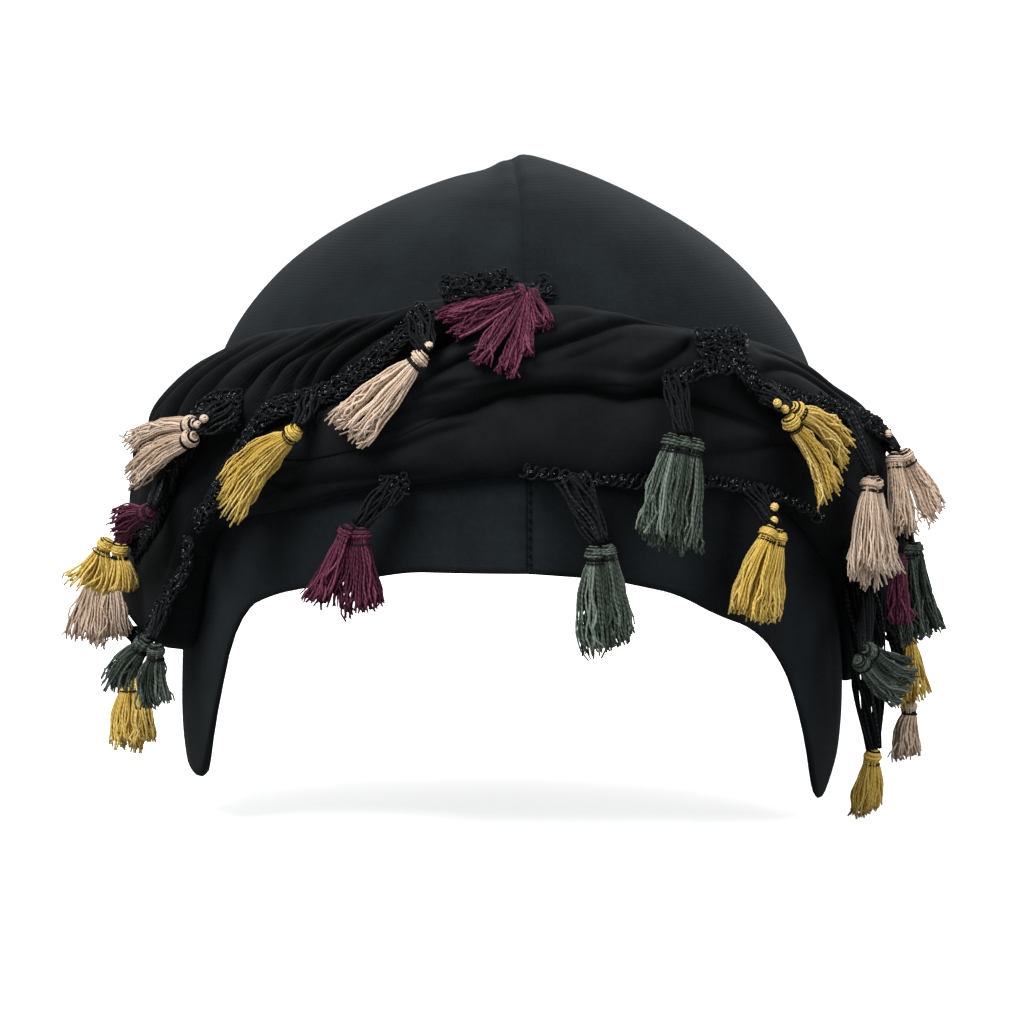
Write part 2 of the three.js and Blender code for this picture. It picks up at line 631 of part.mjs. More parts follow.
function edgingSpot(name, turn) {
  return yarnSpot([turn, edgingFall(name, turn), 0], YARN_THICK / 2);
}

// A strip has a section at each place of its path and at each tassel that hangs from it.
function edgingSolid(name, grow) {
  const turns = EDGING[name].path.map(([turn]) => turn);
  for (const tassel of TASSELS) {
    if (tassel.on === name && !turns.includes(tassel.hang)) turns.push(tassel.hang);
  }
  turns.sort((a, b) => a - b);
  const { wide } = EDGING[name];
  const spots = turns.map((turn) => ({
    at: edgingSpot(name, turn),
    out: outward(turn, edgingFall(name, turn)),
    wide,
  }));
  return strip(spots, grow);
}

// A hanger goes from its strip over the cloth to the head of its tassel.
function hangerSolid(tassel, grow) {
  const [turn, fall] = tassel.head;
  const from = edgingSpot(tassel.on, tassel.hang);
  const head = yarnSpot(tassel.head, TASSEL_HEAD);
  const out = outward(turn, fall);
  const middleTurn = (tassel.hang + turn) / 2;
  const middleFall = (edgingFall(tassel.on, tassel.hang) + fall) / 2;
  const covered = yarnSpot([middleTurn, middleFall, 0], YARN_THICK / 2);
  const middle = from.clone().lerp(head, 0.5);
  const short = covered.sub(middle).dot(out);
  middle.addScaledVector(out, Math.max(short, 0));
  const spots = [
    { at: from, out, wide: HANGER_WIDE * 1.2 },
    { at: middle, out, wide: HANGER_WIDE },
    { at: head, out, wide: HANGER_WIDE * 0.8 },
  ];
  return strip(spots, grow);
}

// One skirt of a tassel: a bound head, a neck, and locks that spread to the cut end.
const SKIRT = [
  { along: 0, size: 0.95, lock: 0 },
  { along: 0.2, size: 0.84, lock: 0.05 },
  { along: 1, size: 1, lock: 0.16 },
];
const SKIRT_SIDES = 6;
const NECK = 0.2;
const SPREAD_POWER = 0.7;
const LEAST_THICK = 1.2;

// A tassel starts this many clearances past its hanger, and its heads lie this far apart.
const HEAD_START = 1.5;
const HEADS_APART = 1.3;

function skirtSolid(head, tip, out, wide, grow) {
  const axis = tip.clone().sub(head);
  const ahead = axis.clone().normalize();
  const side = new THREE.Vector3().crossVectors(ahead, out).normalize();
  const up = new THREE.Vector3().crossVectors(side, ahead).normalize();
  const last = SKIRT.length - 1;
  const sections = SKIRT.map((row, i) => {
    const spread = Math.max(0, (row.along - NECK) / (1 - NECK)) ** SPREAD_POWER;
    const half = row.size * (TASSEL_HEAD + (wide / 2 - TASSEL_HEAD) * spread);
    const thick = TASSEL_HEAD * row.size + (half * TASSEL_FLAT - TASSEL_HEAD) * spread;
    const centre = head.clone().addScaledVector(axis, row.along);
    if (i === 0) centre.addScaledVector(ahead, -grow);
    if (i === last) centre.addScaledVector(ahead, grow);
    const section = [];
    for (let j = 0; j < SKIRT_SIDES; j += 1) {
      const angle = (2 * Math.PI * j) / SKIRT_SIDES;
      const lock = j % 2 ? 1 - row.lock : 1 + row.lock;
      const a = Math.cos(angle) * half * lock + Math.sign(Math.cos(angle)) * grow;
      const b = Math.sin(angle) * Math.max(thick, LEAST_THICK) * lock + Math.sign(Math.sin(angle)) * grow;
      section.push(centre.clone().addScaledVector(side, a).addScaledVector(up, b));
    }
    return section;
  });
  return toSolid(loft(sections, false));
}

function tasselSolid(tassel, grow) {
  const out = outward(tassel.face ?? tassel.head[0], tassel.head[1]);
  const from = edgingSpot(tassel.on, tassel.hang);
  const hung = yarnSpot(tassel.head, TASSEL_HEAD);
  const tip = yarnSpot(tassel.tip, tassel.wide * 0.5 * TASSEL_FLAT);
  const drop = hung.clone().sub(from).normalize();
  const ahead = tip.clone().sub(hung).normalize();
  const side = new THREE.Vector3().crossVectors(ahead, out).normalize();
  const head = hung.clone().addScaledVector(drop, CLEAR * HEAD_START);
  let solid = null;
  for (let i = 0; i < tassel.skirts; i += 1) {
    const share = tassel.skirts > 1 ? i / (tassel.skirts - 1) - 0.5 : 0;
    const start = head.clone().addScaledVector(side, share * TASSEL_HEAD * HEADS_APART);
    const end = tip.clone().addScaledVector(side, share * tassel.splay);
    const skirt = skirtSolid(start, end, out, tassel.wide, grow);
    solid = solid ? solid.add(skirt) : skirt;
  }
  return solid;
}

for (const name of Object.keys(EDGING)) {
  const build = (grow) => {
    let solid = edgingSolid(name, grow);
    for (const tassel of TASSELS) {
      if (tassel.on === name) solid = solid.add(hangerSolid(tassel, grow));
    }
    return solid;
  };
  addMesh(name, cutClear(build(0), cutters), 'edging');
  cutters.push(build(CLEAR));
}

const counts = {};
for (const tassel of TASSELS) {
  counts[tassel.colour] = (counts[tassel.colour] || 0) + 1;
  const name = `tassel_${tassel.colour}_${counts[tassel.colour]}`;
  addMesh(name, cutClear(tasselSolid(tassel, 0), cutters), tassel.colour);
  cutters.push(tasselSolid(tassel, CLEAR));
}

export default group;
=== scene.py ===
# %% [markdown]
# # A tassel cap
# The cap is a black jersey hood with two ear flaps. A black scarf is wound round it, and the crocheted edge of the
# scarf carries yarn tassels in tan, mustard, burgundy and green.
# The CAD model gives the true sizes. This lesson dresses it: every CAD solid gets a soft piece that lies in its
# place, made of the cloth or yarn that the real cap is made of.

# %% Load the frame
import functools
import math
import bpy
import numpy as np
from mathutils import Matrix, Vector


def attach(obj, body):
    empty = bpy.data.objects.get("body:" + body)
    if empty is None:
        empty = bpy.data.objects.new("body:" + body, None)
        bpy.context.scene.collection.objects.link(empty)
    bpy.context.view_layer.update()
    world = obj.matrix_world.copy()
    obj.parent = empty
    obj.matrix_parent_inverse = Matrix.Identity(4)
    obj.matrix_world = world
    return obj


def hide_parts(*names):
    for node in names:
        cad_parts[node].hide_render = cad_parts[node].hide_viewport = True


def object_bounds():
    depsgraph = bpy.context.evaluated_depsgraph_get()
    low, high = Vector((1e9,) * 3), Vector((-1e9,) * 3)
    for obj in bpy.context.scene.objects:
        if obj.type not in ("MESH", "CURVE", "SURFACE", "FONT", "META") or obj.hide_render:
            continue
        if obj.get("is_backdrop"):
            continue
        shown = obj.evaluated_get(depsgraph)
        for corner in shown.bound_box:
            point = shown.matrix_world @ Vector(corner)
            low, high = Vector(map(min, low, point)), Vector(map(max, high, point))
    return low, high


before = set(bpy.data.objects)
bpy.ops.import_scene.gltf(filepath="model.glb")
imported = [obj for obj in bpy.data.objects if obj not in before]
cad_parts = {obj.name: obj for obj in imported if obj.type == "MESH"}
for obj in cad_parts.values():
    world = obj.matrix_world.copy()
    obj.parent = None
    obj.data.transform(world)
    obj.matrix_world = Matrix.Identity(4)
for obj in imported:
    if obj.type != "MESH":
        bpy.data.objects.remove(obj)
cad_low, cad_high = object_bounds()
MM = 0.001
print("CAD nodes:", len(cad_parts))
print("CAD box in mm:", [round((b - a) / MM, 1) for a, b in zip(cad_low, cad_high)])

# %% [markdown]
# ## The camera
# The picture was taken from a little above the brow, almost straight on, through a long lens. The camera aims at a
# point inside the cap and stands 1.2 m from it. A small shift puts the cap a little above the middle of the frame,
# as in the picture, without turning the camera.

# %% The camera
AIM = np.array([0.0, 0.0, -0.078])
DISTANCE = 1.2
AZIMUTH = math.radians(-2.4)
ELEVATION = math.radians(4.0)

camera = bpy.data.objects.new("camera", bpy.data.cameras.new("camera"))
bpy.context.scene.collection.objects.link(camera)
camera.data.sensor_width = 36
camera.data.lens = 166.4
camera.data.shift_x = 0.0005
camera.data.shift_y = -0.041
back = (math.sin(AZIMUTH) * math.cos(ELEVATION), -math.cos(AZIMUTH) * math.cos(ELEVATION), math.sin(ELEVATION))
camera.location = AIM + DISTANCE * np.array(back)
camera.rotation_mode = "XYZ"
camera.rotation_euler = (math.pi / 2 - ELEVATION, 0, AZIMUTH)
bpy.context.scene.camera = camera
print("camera at", [round(x, 3) for x in camera.location])

# %% [markdown]
# ## Tables of named columns
# Each form is a short table, read on a smooth curve through its rows. The first column is the key. A turn is in
# degrees from the front towards +X, the right of the picture. A fall is the depth in mm below the top of the crown,
# and a stand is the distance in mm straight out from the head.

# %% Tables
def table(names, rows):
    return dict(zip(names.split(), np.array(rows, float).T))


def read(rows, column, at):
    keys, values = next(iter(rows.values())), rows[column]
    ahead = np.minimum(np.arange(len(keys)) + 1, len(keys) - 1)
    behind = np.maximum(np.arange(len(keys)) - 1, 0)
    slopes = (values[ahead] - values[behind]) / (keys[ahead] - keys[behind])
    at = np.clip(at, keys[0], keys[-1])
    i = np.clip(np.searchsorted(keys, at) - 1, 0, len(keys) - 2)
    span = keys[i + 1] - keys[i]
    t = (at - keys[i]) / span
    near = (2 * t**3 - 3 * t**2 + 1) * values[i] + (t**3 - 2 * t**2 + t) * span * slopes[i]
    far = (3 * t**2 - 2 * t**3) * values[i + 1] + (t**3 - t**2) * span * slopes[i + 1]
    return near + far


# %% [markdown]
# ## The head under the cap
# Every piece lies on one smooth form, so this form comes first. At each depth it is a rounded oval with its own
# half width and its own reach to the front and back. It could be sculpted, but a table keeps the sizes true.

# %% The form of the head, in millimetres
CROWN_WALL = 1.5
PLAN_POWER = 2.15
HEAD = table("fall side front back lean", [
    (0, 0, 0, 0, 2.6), (1, 5.02, 14.04, 17.03, 2.51), (3, 10.62, 25.02, 30, 2.34), (6, 18.81, 38.01, 45.05, 2.01),
    (12, 33.44, 53.96, 61.97, 1.34), (20, 47.65, 65.99, 73.95, 0.5), (30, 59.69, 76.02, 83.95, 0),
    (45, 71.06, 85, 92.47, 0), (65, 78.42, 91.97, 98.01, 0), (85, 81.76, 95.02, 99, 0), (105, 82.76, 95.5, 97.02, 0),
    (125, 83.27, 93.97, 91.97, 0), (145, 82.93, 89.96, 86.03, 0), (168, 79.42, 84.04, 79.99, 0),
])
HEAD_BY_ROOT = {"root": np.sqrt(HEAD["fall"]), **HEAD}


def oval(fall):
    """Half width, reach to the front and to the back, and sideways lean of the form at a depth."""
    return (read(HEAD_BY_ROOT, c, np.sqrt(np.maximum(fall, 0))) for c in ("side", "front", "back", "lean"))


def on_head(turn, fall):
    turn, fall = np.broadcast_arrays(np.asarray(turn, float), np.asarray(fall, float))
    angle = np.radians(turn)
    across, ahead = np.sin(angle), np.cos(angle)
    side, front, rear, lean = oval(fall)
    x = side * np.sign(across) * np.abs(across) ** (2 / PLAN_POWER) + lean
    y = -np.where(ahead > 0, front, rear) * np.sign(ahead) * np.abs(ahead) ** (2 / PLAN_POWER)
    return np.stack([x, y, CROWN_WALL - fall], -1)


def clamp(x):
    return np.clip(x, 0, 1)


def bell(x, wide, at=0.0):
    return np.exp(-(((x - at) / wide) ** 2))


def unit(v):
    return v / np.maximum(np.linalg.norm(v, axis=-1, keepdims=True), 1e-9)


def outward(turn, fall):
    turn, fall = np.asarray(turn, float), np.asarray(fall, float)
    along = on_head(turn + 0.5, fall) - on_head(turn - 0.5, fall)
    down = on_head(turn, fall + 0.5) - on_head(turn, np.maximum(fall - 0.5, 0))
    return unit(np.cross(down, along))


def place(turn, fall, stand):
    return on_head(turn, fall) + outward(turn, fall) * np.asarray(stand)[..., None]


print("brow at fall 90 mm:", on_head(0, 90).round(1), "ear:", on_head(90, 90).round(1))

# %% [markdown]
# ## Making meshes
# Cloth is a grid of points and yarn is a bundle of thin tubes. Both are made as arrays and handed to Blender at
# once, which is much faster than adding points one by one. Each point also gets its place in the cloth, or its
# place along and round the yarn, in millimetres. The materials read that, so the knit, the weave and the twist
# follow the piece wherever it bends.

# %% Mesh helpers
def make_piece(name, points, faces, material, spot=None, second=None, tone_and_shade=None):
    mesh = bpy.data.meshes.new(name)
    points = np.asarray(points, float).reshape(-1, 3) * MM
    mesh.vertices.add(len(points))
    mesh.vertices.foreach_set("co", points.ravel())
    faces = [np.asarray(f, int) for f in faces]
    corners = np.concatenate([f.ravel() for f in faces])
    sizes = np.concatenate([np.full(len(f), f.shape[1]) for f in faces])
    mesh.loops.add(len(corners))
    mesh.loops.foreach_set("vertex_index", corners)
    mesh.polygons.add(len(sizes))
    mesh.polygons.foreach_set("loop_start", np.concatenate([[0], np.cumsum(sizes)[:-1]]))
    mesh.polygons.foreach_set("use_smooth", np.ones(len(sizes), bool))
    mesh.materials.append(material)
    if second is not None:
        mesh.materials.append(second[0])
        slots = np.zeros(len(sizes), int)
        slots[second[1] :] = 1
        mesh.polygons.foreach_set("material_index", slots)
    for label, values, kind, field in (("spot", spot, "FLOAT_VECTOR", "vector"), ("tone_and_shade", tone_and_shade, "FLOAT", "value")):
        if values is not None:
            data = mesh.attributes.new(label, kind, "POINT").data
            data.foreach_set(field, np.asarray(values, np.float32).ravel())
    mesh.update(calc_edges=True)
    mesh.validate()
    piece = bpy.data.objects.new(name, mesh)
    bpy.context.scene.collection.objects.link(piece)
    return piece


def skin_faces(sections, around, closed=False):
    """Quads between sections, each a loop of points. A closed skin joins its last section to the first."""
    i, j = np.meshgrid(np.arange(sections if closed else sections - 1), np.arange(around), indexing="ij")
    i, j = i.ravel(), j.ravel()
    n, k = (i + 1) % sections, (j + 1) % around
    return np.stack([i * around + j, i * around + k, n * around + k, n * around + j], 1)


def end_faces(sections, around):
    """The two faces that close a skin at its ends."""
    return np.stack([np.arange(around)[::-1], np.arange(around) + (sections - 1) * around])


# %% [markdown]
# A yarn is a tube that follows a line of points. Its sections are carried along the line without turning, so it
# doesn't pinch where the line curls. A whole bundle of yarns of the same number of points is made in one go.

# %% Tubes of yarn
def tubes(paths, radius, sides):
    paths = np.asarray(paths, float)
    count, steps, _ = paths.shape
    radius = np.broadcast_to(np.asarray(radius, float), (count, steps))
    ahead = unit(np.gradient(paths, axis=1))
    side = np.empty_like(paths)
    side[:, 0] = unit(np.cross(ahead[:, 0], [0.31, 0.2, 0.93]))  # a direction that no yarn starts along
    for k in range(1, steps):
        last = side[:, k - 1]
        side[:, k] = unit(last - ahead[:, k] * (last * ahead[:, k]).sum(-1, keepdims=True))
    up = np.cross(ahead, side)
    angle = 2 * np.pi * np.arange(sides) / sides
    ring = side[:, :, None] * np.cos(angle)[:, None] + up[:, :, None] * np.sin(angle)[:, None]
    points = paths[:, :, None] + ring * radius[:, :, None, None]
    lengths = np.linalg.norm(np.diff(paths, axis=1), axis=-1).cumsum(1)
    along = np.concatenate([np.zeros((count, 1)), lengths], 1) + (np.arange(count) * 7.37 % 41)[:, None]
    spot = np.empty((count, steps, sides, 3))
    spot[..., 0], spot[..., 1], spot[..., 2] = np.cos(angle), np.sin(angle), along[..., None]
    starts = np.arange(count)[:, None, None] * steps * sides
    quads, ends = skin_faces(steps, sides) + starts, end_faces(steps, sides) + starts
    return points.reshape(-1, 3), quads.reshape(-1, 4), ends.reshape(-1, sides), spot.reshape(-1, 3)


def yarn(paths, radius, sides, tone_and_shade):
    """Tubes with a tone and shade value: one number for all, or one for each path or for each point of the paths."""
    return (*tubes(paths, radius, sides), tone_and_shade)


def join(bundles):
    """One mesh of many bundles: its points, its faces in the order of the bundles, its spots and its tones and shades.
    """
    points, faces, spots, tones_and_shades, base = [], [], [], [], 0
    for p, quads, ends, spot, t in bundles:
        points.append(p)
        faces += [quads + base, ends + base]
        spots.append(spot)
        tones_and_shades.append(np.broadcast_to(t, len(p)) if np.ndim(t) == 0 else np.repeat(t, len(p) // len(t)))
        base += len(p)
    return np.concatenate(points), faces, np.concatenate(spots), np.concatenate(tones_and_shades)


# %% [markdown]
# ## Uneven cloth and yarn
# Nothing hand made is quite even. A ripple is a sum of a few waves in seeded directions, so that it is smooth, has
# no grain of its own and comes out the same on every run.

# %% Ripples
def ripple(a, b, seed, waves=6):
    chance = np.random.RandomState(seed)
    total = 0
    for _ in range(waves):
        angle, scale, start = chance.uniform(0, 2 * np.pi), chance.uniform(0.6, 1.7), chance.uniform(0, 2 * np.pi)
        total = total + np.sin(scale * (a * np.cos(angle) + b * np.sin(angle)) + start)
    return total / math.sqrt(waves)


# %% [markdown]
# ## Colours and shader nodes
# Colours are picked as sRGB hex, as a painter reads them off a swatch. The renderer works in linear light, so one
# function turns them. One more adds a node to a material with its settings and links.

# %% Colour and node helpers
def linear(code):
    parts = [int(code[i : i + 2], 16) / 255 for i in (1, 3, 5)]
    return [c / 12.92 if c <= 0.04045 else ((c + 0.055) / 1.055) ** 2.4 for c in parts] + [1.0]


def add(tree, kind, inputs=None, **settings):
    node = tree.nodes.new(kind)
    for name, value in settings.items():
        setattr(node, name, value)
    for name, value in (inputs or {}).items():
        if isinstance(value, bpy.types.NodeSocket):
            tree.links.new(value, node.inputs[name])
        else:
            node.inputs[name].default_value = value
    return node


def new_material(name):
    material = bpy.data.materials.new(name)
    material.use_nodes = True
    material.node_tree.nodes.clear()
    return material, material.node_tree


def finish_material(tree, shader):
    add(tree, "ShaderNodeOutputMaterial", {"Surface": shader.outputs[0]})


def read_point(tree, name, output="Fac"):
    """A value that the mesh keeps at each of its points."""
    return add(tree, "ShaderNodeAttribute", attribute_name=name).outputs[output]


def calc(tree, operation, *values):
    """One step of arithmetic on sockets or numbers."""
    return add(tree, "ShaderNodeMath", dict(enumerate(values)), operation=operation).outputs[0]


def wave(tree, value, length, operation="SINE"):
    return calc(tree, operation, calc(tree, "MULTIPLY", value, 2 * math.pi / length))


def noise(tree, where, scale, detail, roughness=0.5):
    settings = {"Vector": where, "Scale": scale, "Detail": detail, "Roughness": roughness}
    return add(tree, "ShaderNodeTexNoise", settings).outputs[0]


def ramp(tree, value, first, last, *between):
    """Colours along a value. Each stop is a place from 0 to 1 and a colour."""
    node = add(tree, "ShaderNodeValToRGB", {0: value})
    stops = node.color_ramp.elements
    for stop, (place_at, code) in zip(stops, (first, last)):
        stop.position, stop.color = place_at, linear(code)
    for place_at, code in between:
        stops.new(place_at).color = linear(code)
    return node.outputs[0]


def finish_fibre(tree, colour, height, bump, roughness, gloss, sheen):
    """Close a material of fibres. The bump is strength and depth in metres, the sheen weight, roughness and tint."""
    raised = add(tree, "ShaderNodeBump", {"Height": height, "Strength": bump[0], "Distance": bump[1]})
    shader = add(tree, "ShaderNodeBsdfPrincipled", {
        "Base Color": colour, "Roughness": roughness, "Specular IOR Level": gloss, "Sheen Weight": sheen[0],
        "Sheen Roughness": sheen[1], "Sheen Tint": linear(sheen[2]), "Normal": raised.outputs[0]})
    finish_material(tree, shader)


print("black dye in linear light:", [round(c, 4) for c in linear("#0e1113")[:3]])


# %% [markdown]
# ## Cotton jersey
# The hood is black cotton jersey, a fine weft knit. Its face is rows of small V shaped loops that stand in wales
# about 0.7 mm apart. They are drawn at 0.9 mm, because finer ones vanish at this size. Black dye on cotton leaves a
# cold grey, and the raised fibres catch light at the rim, which is what the sheen is for. The lint is noise in the
# space of the piece, so it doesn't draw together where the wales meet at the crown.

# %% Cotton jersey
WALE, COURSE = 0.9, 0.75


def cotton_jersey(name, dark, light):
    material, tree = new_material(name)
    parts = add(tree, "ShaderNodeSeparateXYZ", {0: read_point(tree, "spot", "Vector")}).outputs
    wales = wave(tree, parts[0], WALE)
    down = calc(tree, "MULTIPLY", parts[1], 2 * math.pi / COURSE)
    courses = calc(tree, "SINE", calc(tree, "ADD", down, calc(tree, "MULTIPLY", wales, 0.8)))
    solid = add(tree, "ShaderNodeTexCoord").outputs["Object"]
    lint = noise(tree, solid, 900.0, 4.0, 0.65)
    faded = noise(tree, solid, 45.0, 3.0)
    colour = ramp(tree, calc(tree, "MULTIPLY_ADD", lint, 0.45, faded), (0.5, dark), (0.95, light))
    height = calc(tree, "MULTIPLY_ADD", lint, 3.0, calc(tree, "ADD", wales, courses))
    finish_fibre(tree, colour, height, (0.14, 0.0001), 0.92, 0.1, (0.05, 0.45, "#c6d2d8"))
    return material


JERSEY = cotton_jersey("black_cotton_jersey", "#0e1113", "#1b2023")
print("made", JERSEY.name)

# %% [markdown]
# ## Cotton voile
# The scarf is a thin black plain weave that folds into fine sharp pleats. Plain weave goes over and under, so the
# bump is two crossed waves. Real threads lie 0.3 mm apart and are drawn at 0.7 mm. The mesh says how deep each point
# lies in a fold, and there the colour is mixed towards near black: painted shade in the folds.

# %% Cotton voile
THREAD = 0.7


def cotton_voile(name, dark, light, shade):
    material, tree = new_material(name)
    spot = read_point(tree, "spot", "Vector")
    parts = add(tree, "ShaderNodeSeparateXYZ", {0: spot}).outputs
    weave = calc(tree, "MULTIPLY", wave(tree, parts[0], THREAD), wave(tree, parts[1], THREAD))
    slub = noise(tree, spot, 0.7, 4.0, 0.6)
    faded = noise(tree, spot, 0.06, 2.0)
    colour = ramp(tree, calc(tree, "MULTIPLY_ADD", slub, 0.35, faded), (0.45, dark), (0.9, light))
    # painted shade: the colour is mixed towards the shade colour by how deep the point lies in a fold
    fold = read_point(tree, "tone_and_shade")
    shaded = add(tree, "ShaderNodeMixRGB", {"Fac": fold, "Color1": colour, "Color2": linear(shade)}).outputs[0]
    height = calc(tree, "MULTIPLY_ADD", slub, 2.0, weave)
    finish_fibre(tree, shaded, height, (0.3, 0.00014), 0.88, 0.1, (0.03, 0.4, "#c2cdd4"))
    return material


VOILE = cotton_voile("black_cotton_voile", "#0a0c0d", "#17191b", "#020303")
print("made", VOILE.name)

# %% [markdown]
# ## Plied yarn
# Tassels and crochet are cotton yarn: two threads twisted together, which gives slanting ridges with a pitch of
# 1.3 mm, or 0.9 mm on the thin binding thread. The ridges come from the sine of the place along the yarn plus the
# angle round it; the colour follows them too, lighter on the ridges and darker in the grooves, as painted light and
# shade. The tone of each yarn differs a little, because dye takes unevenly, and the tips are paler where the cut
# fibres have opened. Yarns near the middle of a tassel are painted darker, as painted shade.

# %% Plied yarn
def plied_yarn(name, shade, middle, bright, pitch=1.3, gloss=0.2, sheen=0.12):
    material, tree = new_material(name)
    spot = read_point(tree, "spot", "Vector")
    parts = add(tree, "ShaderNodeSeparateXYZ", {0: spot}).outputs
    one = calc(tree, "MULTIPLY", wave(tree, parts[2], pitch), parts[0])
    ply = calc(tree, "MULTIPLY_ADD", wave(tree, parts[2], pitch, "COSINE"), parts[1], one)
    fibre = noise(tree, spot, 2.4, 3.0, 0.7)
    # painted light and shade: the colour is lighter on the ridges of the twist and darker in its grooves
    grooved = calc(tree, "MULTIPLY_ADD", ply, 0.06, read_point(tree, "tone_and_shade"))
    varied = calc(tree, "MULTIPLY_ADD", fibre, 0.7, grooved)
    colour = ramp(tree, varied, (0.3, shade), (0.9583, bright), (0.66, middle))
    height = calc(tree, "MULTIPLY_ADD", fibre, 0.6, ply)
    finish_fibre(tree, colour, height, (0.4, 0.00012), 0.72, gloss, (sheen, 0.35, bright))
    return material


YARN = {
    "black": plied_yarn("black_cotton_yarn", "#060707", "#15181a", "#a4a7a8", gloss=0.12, sheen=0.03),
    "thread": plied_yarn("black_binding_thread", "#060708", "#101213", "#222527", pitch=0.9, gloss=0.1, sheen=0.02),
    "tan": plied_yarn("tan_cotton_yarn", "#967a63", "#c9b098", "#ecd8c4"),
    "mustard": plied_yarn("mustard_cotton_yarn", "#90701f", "#ccaa49", "#f0d688"),
    "burgundy": plied_yarn("burgundy_cotton_yarn", "#19030b", "#401326", "#82425c"),
    "green": plied_yarn("green_cotton_yarn", "#171d19", "#333d35", "#7f8c80"),
}
print("made", len(YARN), "yarns")

# %% [markdown]
# ## The jersey hood
# The hood is sewn from two halves that meet in a seam over the middle of the head. Each half is one skin of cloth
# with a wall 1.5 mm thick. It could be a sculpted ball, but a grid laid on the head form gives an even knit and a
# hem that follows its own table. The rows close in to the top without a pole in the seam.

# %% The hem of the hood, turn and fall
HEM = table("turn fall", [
    (-180, 112), (-140, 113), (-122, 119), (-110, 132), (-100, 143.2), (-89, 150.4), (-79, 153.1), (-70.5, 153.9),
    (-66, 149.1), (-63.5, 137), (-60, 121.9), (-54.5, 109.1), (-46, 104), (-34, 100.5), (-18, 96.6), (0, 96.8),
    (12, 98.4), (24, 102.4), (32, 108.2), (41, 112.3), (48, 121), (52.5, 129), (55, 135.2), (57.5, 145.6),
    (62, 153.9), (68.5, 161), (72, 159.7), (76, 154.9), (85, 148), (96, 140), (108, 129.9), (122, 119), (140, 113),
    (180, 112),
])
DOME_FALL = 30.0
SEAM_DEEP = 0.85
SEAM_WIDE = 1.1
STITCHED = (71.0, 95.5)
STITCH, STITCH_RADIUS = 2.1, 0.27
HALF_GAP = 0.01  # each half keeps to its own side of the seam


def fall_at(x, y):
    """The fall of the head form over a place in plan, found by halving."""
    low, high = np.zeros_like(x), np.full_like(x, DOME_FALL)
    for _ in range(30):
        middle = (low + high) / 2
        side, front, rear, lean = oval(middle)
        reach = np.where(y < 0, front, rear)
        across, ahead = (x - lean) / np.maximum(side, 1e-6), y / np.maximum(reach, 1e-6)
        level = np.abs(across) ** PLAN_POWER + np.abs(ahead) ** PLAN_POWER
        low, high = np.where(level > 1, middle, low), np.where(level > 1, high, middle)
    return (low + high) / 2


def hood_grid(sign, columns=124, dome_rows=38, skirt_rows=54):
    share = np.linspace(0, 1, columns)
    turn = sign * 180 * (share - 0.1 * np.sin(2 * np.pi * share))
    rim = on_head(turn, DOME_FALL)
    inward = np.linspace(0.0005, 1, dome_rows)[:, None]
    x, y = rim[:, 0] * inward, rim[:, 1] * inward
    fall = fall_at(x, y)
    dome = np.stack([x, y, CROWN_WALL - fall], -1)
    hem = np.interp(turn, HEM["turn"], HEM["fall"])
    smooth = np.convolve(np.pad(hem, 2, mode="edge"), np.ones(5) / 5, "valid")
    down = np.linspace(0, 1, skirt_rows + 1)[1:, None]
    falls = DOME_FALL + (smooth - DOME_FALL) * down
    skirt = on_head(np.broadcast_to(turn, falls.shape), falls)
    points = np.concatenate([dome, skirt])
    all_falls = np.concatenate([fall, falls])
    return np.broadcast_to(turn, all_falls.shape), all_falls, points


def grid_cross(points):
    return np.cross(np.gradient(points, axis=0), np.gradient(points, axis=1))


def cloth_area(points):
    return np.linalg.norm(grid_cross(points), axis=-1).sum() * MM * MM


def grid_normals(points, centre):
    normal = unit(grid_cross(points))
    turned = (normal * (points - centre)).sum(-1, keepdims=True) < 0
    return np.where(turned, -normal, normal)


def hood_relief(turn, fall, points):
    """How far the cloth stands off the smooth form: the sewn seam and soft creases."""
    offset = points[..., 0]
    x = np.abs(offset)
    seam = -SEAM_DEEP * bell(x, SEAM_WIDE) + 0.22 * bell(x, 1.8, 3.0)
    pucker = 0.1 * np.sin(fall * 1.5 + np.sign(turn) * 0.8) * bell(x, 6)
    seam = seam * np.where(fall > 72, 0.45, 1)  # shallower on the brow, below the scarf
    near_top = clamp(1 - fall / 30) ** 0.5
    round_top = near_top * (0.9 * bell(offset, 13, 18) - bell(offset, 6, -6))
    level = clamp(x / 8)
    soft = 0.25 * ripple(turn / 14, fall / 30, 5) * clamp(fall / 25) * level
    drawn = 0.3 * ripple(turn / 5, fall / 34, 8) * clamp((fall - 70) / 40) * level
    return round_top + (seam + pucker + soft + drawn) * np.clip(np.hypot(offset, points[..., 1]) / 4, 0.3, 1)


def seam_stitches():
    """Black stitches along the lower part of the seam."""
    starts = np.arange(STITCHED[0], STITCHED[1], STITCH)[:, None]
    falls = starts + np.linspace(0, 0.62 * STITCH, 6)
    proud = 0.12 + 0.3 * np.sin(np.linspace(0, np.pi, 6)) + 0 * falls
    return tubes(place(np.full(falls.shape, 0.12), falls, proud), STITCH_RADIUS, 6)


